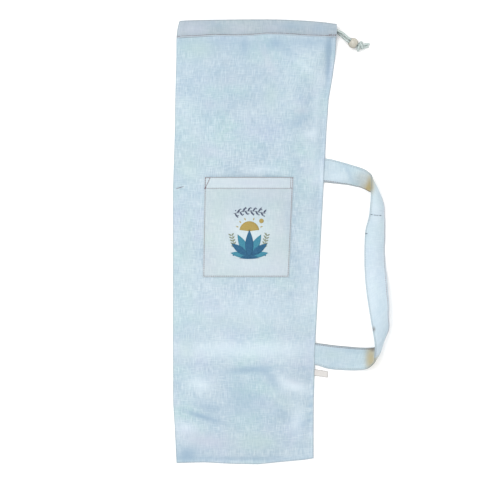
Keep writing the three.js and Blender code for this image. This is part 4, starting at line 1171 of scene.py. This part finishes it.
# Tan painted shade on the insides of the strap's curls: x, y, half lengths, and the stations they lie on.
strapCurlShade = [
    (188, 441, 5, 15, 19, 26, 0.7), (181, 437, 9, 8, 19, 26, 0.45), (186, 433, 5, 4, 18, 26, 0.45),
    (176, 452, 12, 9, 19, 26, 0.22), (192, 166, 6.5, 26, 3, 6.6, 0.8), (185, 164, 4.5, 20, 3, 6.6, 0.35),
]
# Two small dark brown marks on the strap: x, y, half lengths, stations and amount.
strapMarks = [(194.5, 180.5, 5, 3, 3, 6.6, 0.7), (193.4, 214, 1.8, 3.2, 5, 14, 1.0)]
strapBlots = {
    "dyeDarkAndShade": [(156, 457, 14, 2.6, -67, 0.5), (160, 180, 18, 6, -10, 0.4), (204, 300, 50, 5, 92, 0.15)],
    "fadeAndPaintedLight": [(140, 452, 18, 9, 0, 0.5), (196, 400, 30, 8, 100, 0.4), (192, 260, 40, 7, 95, 0.3),
              (196, 320, 110, 22, 92, 0.4)],
    "greened": [(150, 440, 20, 3, 0, 0.5), (130, 172, 18, 8, 0, 0.4)],
}


def strapGrid():
    rows = [strapSections[0], *strapSections, strapSections[-1]]
    centres, spreads, arches = [], [], []
    for i, (out, up, lift, acrossX, acrossY, acrossZ, arch) in enumerate(rows):
        y = strap["fromBottom"] + up * strap["span"]
        x = float(rightEdge(y)) + out * strap["reach"]
        if i in (0, len(rows) - 1):
            x -= strap["tuck"]
        z = max(lift * strap["curl"], strap["thickness"] / 2 + 0.1)
        centres.append((x, y, z))
        spreads.append(np.array([acrossX, acrossY, acrossZ]) * strap["width"])
        arches.append((arch * strap["width"], 0, 0))
    steps = strap["stepsPerPoint"]
    centre, spread = smoothPath(centres, steps), smoothPath(spreads, steps)
    arch = smoothPath(np.array(arches) + np.linspace(0, 1e-3, len(arches))[:, None], steps)[:, 0]
    normal = unit(np.cross(np.gradient(centre, axis=0), spread))
    run = runAlong(centre)
    across = spaced(0, 1, 0.06, (0.004, 0.012, 0.028, 0.06)) - 0.5
    bow = arch[:, None] * (1 - 4 * across ** 2)
    width = np.linalg.norm(spread, axis=1)[:, None]
    slope = -8 * arch[:, None] * across / width
    side = (spread / width)[:, None]
    upward = unit(normal[:, None] - side * slope[..., None])
    grid = centre[:, None] + spread[:, None] * across[None, :, None] + normal[:, None] * bow[..., None]
    distance = (0.5 - np.abs(across))[None] * width
    ripple = strap["ripple"] * softNoise(run[:, None], across[None] * 30, strap["rippleWave"], 31)
    ripple = ripple * smoothStep(run[:, None], 8, 30) * smoothStep(run[-1] - run[:, None], 8, 30)
    return grid, upward, distance, ripple, run, across


def addStrap():
    grid, upward, distance, ripple, run, across = strapGrid()
    grid = grid + upward * ripple[..., None] * 0.6
    groove = strap["groove"] * np.exp(-((distance - strap["stitchIn"]) / 0.7) ** 2)
    half = strap["thickness"] / 2 * roundEdge(distance, 1.0) - groove
    lowest = np.minimum((grid - upward * half[..., None])[..., 2], (grid + upward * half[..., None])[..., 2])
    grid[..., 2] += np.maximum(strap["clear"] - lowest, 0)
    station = np.linspace(0, len(strapSections) + 1, len(grid))[:, None] - 1

    def blotsAt(rows):
        total = 0
        for x, y, halfX, halfY, first, last, share in rows:
            blot = blotField(grid[..., 0], grid[..., 1], [(x, y, halfX, halfY, 0, share)])
            total = total + blot * ((station >= first) & (station <= last))
        return total

    # Painted shade: tan on the insides of the curls.
    curlShade = blotsAt(strapCurlShade)
    u = across[None] * strap["width"] + 0 * curlShade
    v = run[:, None] + 0 * curlShade
    values = blotFields(grid[..., 0], grid[..., 1], strapBlots)
    # Dark brown along the inner edge of the strap's two flat end runs.
    innerEdgeOfEnds = (across < 0)[None] * np.maximum(smoothStep(station, 5.5, 4.5), smoothStep(station, 20, 22))
    values["curlShade"] = np.clip(curlShade, 0, 1)
    values["darkBrownEdge"] = np.clip(0.85 * innerEdgeOfEnds * edgeShare(distance, 1.7) + blotsAt(strapMarks), 0, 1)
    inner = (across < 0)[None] * smoothStep(station, 5, 7) * smoothStep(station, 21, 19)
    # Paler along the strap's inner edge between its curls.
    values["fadeAndPaintedLight"] = np.maximum(values["fadeAndPaintedLight"], 0.8 * inner * smoothStep(distance, 4, 3))
    # Painted shade: a darker line along both edges of the strap.
    values["paintedEdgeShade"] = 0.6 * edgeShare(distance, 1.4)
    piece = addSheet("strapBand", grid, upward, half, u, v, strapCloth, values)
    return piece, grid, upward, run


strapPiece, strapMiddle, strapUp, strapRun = addStrap()
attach(strapPiece, "root")
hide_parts("shoulder_strap")
print("strap made, length", round(strapRun[-1]))

# Label


label = {
    "length": 21.0, "width": 10.0, "thickness": 0.8, "fromBottom": 146.0, "tuck": 5.0, "curl": 0.54,
    "height": 1.75, "fall": 0.75, "lowest": 0.5, "wave": (12, 41, 0.12), "sag": 1.3, "tipSag": 3.4,
}


def addLabel():
    seam = float(rightEdge(label["fromBottom"]))
    x = spaced(seam - label["tuck"], seam + label["length"], 0.7, (0.1, 0.25, 0.5))
    y = spaced(-label["width"] / 2, label["width"] / 2, 0.7, (0.1, 0.25, 0.5))
    gridX, gridY = np.meshgrid(x, y)
    out = np.clip((gridX - seam) / label["length"], 0, 1)
    z = label["height"] - label["fall"] * smoothStep(out) + label["curl"] * out ** 2 * gridY / label["width"]
    z = z + swellAt(gridX, gridY, [label["wave"]]) * out
    placeY = gridY + label["fromBottom"] - label["sag"] - label["tipSag"] * out
    edge = np.minimum(np.minimum(gridX - x[0], x[-1] - gridX), np.minimum(gridY - y[0], y[-1] - gridY))
    half = label["thickness"] / 2 * roundEdge(edge, 0.4)
    middle = np.stack([gridX, placeY, np.maximum(z, label["lowest"])], -1)
    # Painted shade: a darker line round the label's edges.
    values = {"paintedEdgeShade": 0.8 * edgeShare(edge, 0.9)}
    return addSheet("sideTab", middle, gridNormals(middle), half, gridX, gridY, labelTape, values)


labelPiece = addLabel()
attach(labelPiece, "root")
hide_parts("side_label")
print("label made")

# Stitches


stitch = {"length": 3.0, "gap": 0.35, "diameter": 0.75, "rise": 0.2, "sunk": 0.05, "sides": 6, "rings": 6}


# One line of stitches along a path on cloth, given the cloth's upward direction at each point.
def stitchLine(path, up, length=stitch["length"], gap=stitch["gap"], diameter=stitch["diameter"]):
    up = np.broadcast_to(up, np.shape(path))
    run = runAlong(path)
    count = max(1, int(run[-1] / (length + gap)))
    pitch = run[-1] / count
    shares = np.linspace(0, 1, stitch["rings"])
    bulge = np.sin(math.pi * shares)
    angle = np.linspace(0, 2 * math.pi, stitch["sides"], endpoint=False)
    size = diameter / 2 * (0.35 + 0.65 * bulge ** 0.5)
    made = []
    for i in range(count):
        at = i * pitch + gap / 2 + shares * (pitch - gap)
        lift = placesOn(at, run, up)
        line = placesOn(at, run, path) + lift * (stitch["rise"] * bulge - stitch["sunk"])[:, None]
        tangent = unit(np.gradient(line, axis=0))
        side = unit(np.cross(tangent, lift))
        made.append(line[:, None] + ringOut(side, np.cross(side, tangent), angle) * size[:, None, None])
    return made


def addStitches(name, lines, thread=threadBrown):
    rings = [ring for line in lines for ring in line]
    rows, columns = stitch["rings"], stitch["sides"]
    faces, faceUv = [], []
    v, u = np.meshgrid(np.linspace(0, 1, rows), np.linspace(0, 1, columns, endpoint=False), indexing="ij")
    one, oneUv = gridFaces(rows, columns, closed=True), gridUv(u, v, np.ones(rows))
    caps = [list(range(columns))[::-1], [(rows - 1) * columns + i for i in range(columns)]]
    for start in range(0, len(rings) * rows * columns, rows * columns):
        faces += [list(face + start) for face in one] + [[c + start for c in cap] for cap in caps]
        faceUv.append(np.concatenate([oneUv, np.zeros((2 * columns, 2))]))
    points = np.concatenate([ring.reshape(-1, 3) for ring in rings])
    piece = addPiece(name, points, faces, thread, faceUv=np.concatenate(faceUv), join=0)
    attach(piece, "root")


def onCloth(points, heightAt):  # a path over cloth, in steps small enough to follow it
    dense = np.concatenate([np.linspace(a, b, 60) for a, b in zip(points[:-1], points[1:])])
    return np.stack([*dense.T, heightAt(*dense.T)], -1)


def pocketXy(across, up):  # millimetres in from the left edge (from the right if negative) and up
    share = up / pocket["height"]
    side = across if across >= 0 else pocketWidthAt(share) + across
    return pocketLeftAt(share) + side, pocket["top"] - pocket["height"] + up


def pocketStitches():
    tall, inset = pocket["height"], pocket["stitchIn"]
    hem, high = tall - pocket["hem"] + 1.2, tall - 0.8
    rows = [  # from and to, in and up, in millimetres; then the length, gap and diameter where they differ
        ((inset, high), (inset, inset)), ((-inset, high), (-inset, inset)), ((inset, inset), (-inset, inset)),
        ((0.8, hem), (-0.8, hem)), ((0.8, tall - 1.2), (-0.8, tall - 1.2)),
        ((9.4, high), (inset, hem), 3.0, 0.2, 1.1), ((inset - 0.2, high), (inset - 0.3, hem), 3.0, 0.2, 1.0),
        ((-4.4, high), (-4.4, hem)), ((inset, tall - 1.6), (9.4, tall - 1.4), 2.0),
    ]
    lines = [stitchLine(onCloth([pocketXy(*start), pocketXy(*end)], pocketTopAt), upright, *sizes)
             for start, end, *sizes in rows]
    foot = np.array(pocketXy(inset - 0.4, hem))
    for i in range(7):  # the back-stitched lump at the left tack's foot
        along = 1.2 * aimAt(0.5 * i)
        path = onCloth([foot - along, foot + along], pocketTopAt) + (0, 0, 0.05 * i)
        lines.append(stitchLine(path, upright, 2.0, 0.0))
    return lines


def casingFace(x, up):  # a point on the casing's front, this far up from its lower edge
    across = mouthAcross(x)
    low = casingLow(across)
    share = up / (casingTop(across) - low)
    half = casing["rim"] + (casing["thickness"] / 2 - casing["rim"]) * np.sin(math.pi * share)
    z = frontRun(across) - lipDrop(x, across, up) + half - casing["stitchSink"]
    return np.stack([x + foldLean(across, share), low + up, z], -1)


def casingStitches():
    x = np.linspace(mouthRight - 1, turnX + 1, 240)
    wander = 0.25 * softNoise(x, 0 * x, 60, 51)
    lines = [stitchLine(casingFace(x, casing["stitchUp"] + wander), upright, gap=0.2)]
    tack = np.linspace(mouthRight - 1, mouthRight - 13, 30)
    arch = 1.4 * np.sin(np.linspace(0.2, math.pi, 30))
    lines.append(stitchLine(casingFace(tack, casing["stitchUp"] + 0.8 + arch), upright, 2.6, 0.2, 1.1))
    turn = np.linspace(0, math.pi, 60)
    foldX, foldZ = foldArc(turn)
    height, out = casing["stitchUp"], np.stack([-np.sin(turn), 0 * turn, np.cos(turn)], -1)
    lean = casing["foldSlant"] * height / casing["height"]
    middle = np.stack([foldX + lean, casingLow(mouthAcross(foldX)) + height, foldZ], -1)
    lines.append(stitchLine(middle + out * 0.9, out))
    return lines


def onStrap(points):  # on the strap's upper face, at its nearest points
    path = []
    for x, y in points:
        far = np.hypot(strapMiddle[..., 0] - x, strapMiddle[..., 1] - y)
        row, column = np.unravel_index(np.argmin(far), far.shape)
        up = strapUp[row, column] * math.copysign(1, strapUp[row, column][2])
        lift = up * (strap["thickness"] / 2 + strap["tackLift"])
        path.append(lift + (x, y, strapMiddle[row, column][2]))
    return np.array(path)


def strapStitches(edge):  # a line on each face, along its first or last edge
    lines = []
    for face in (1, -1):
        path, ups = [], []
        for line, lineUp in zip(strapMiddle[6:-6], strapUp[6:-6]):
            far = runAlong(line)
            at = strap["stitchIn"] if edge == 0 else far[-1] - strap["stitchIn"]
            ups.append(placesOn(at, far, lineUp) * face)
            path.append(placesOn(at, far, line) + ups[-1] * strap["threadLift"])
        lines.append(stitchLine(np.array(path), ups, 3.2))
    return lines


looseStitch = [(-116.5, 434.2), (-110.5, 435.4), (-104, 437.3)]  # a thread left from sewing
addStitches("pocketStitches", pocketStitches())
addStitches("casingStitches", casingStitches())
addStitches("strapInnerStitches", strapStitches(0))
addStitches("strapOuterStitches", strapStitches(1), threadPale)
strapTacks = [[(188.8, 393.5), (197, 392.4), (205.2, 391.8)], [(181.8, 363.6), (186, 363.6)]]
addStitches("strapTacks", [stitchLine(onStrap(tack), upright, 4.0, 0.1, 1.2) for tack in strapTacks],
            threadGrey)
addStitches("looseStitch", [stitchLine(onCloth(looseStitch, bagTop), upright, 13.0, 0.0, 0.9)])
print("stitches sewn")

# Floor and light


def addFloor():
    corners = [(-4, -4, 0), (4, -4, 0), (4, 4, 0), (-4, 4, 0)]
    mesh = bpy.data.meshes.new("floor")
    mesh.from_pydata(corners, [], [(0, 1, 2, 3)])
    mesh.materials.append(paper)
    floor = addObject("floor", mesh)


light = {"place": (-1.8, 1.6, 4.0), "size": 2.6, "power": 80.0, "sky": 0.95}  # metres, watts


def addLights():
    data = bpy.data.lights.new("softBox", "AREA")
    data.size, data.energy = light["size"], light["power"]
    lamp = addObject("softBox", data)
    lamp.location = light["place"]
    lamp.rotation_euler = (-Vector(light["place"])).to_track_quat("-Z", "Y").to_euler()
    world = bpy.data.worlds.new("studio")
    world.use_nodes = True
    world.node_tree.nodes["Background"].inputs["Color"].default_value = toLinear("#ffffff")
    world.node_tree.nodes["Background"].inputs["Strength"].default_value = light["sky"]
    bpy.context.scene.world = world
    bpy.context.scene.view_settings.view_transform = "Standard"


addFloor()
addLights()
print("floor and light set")
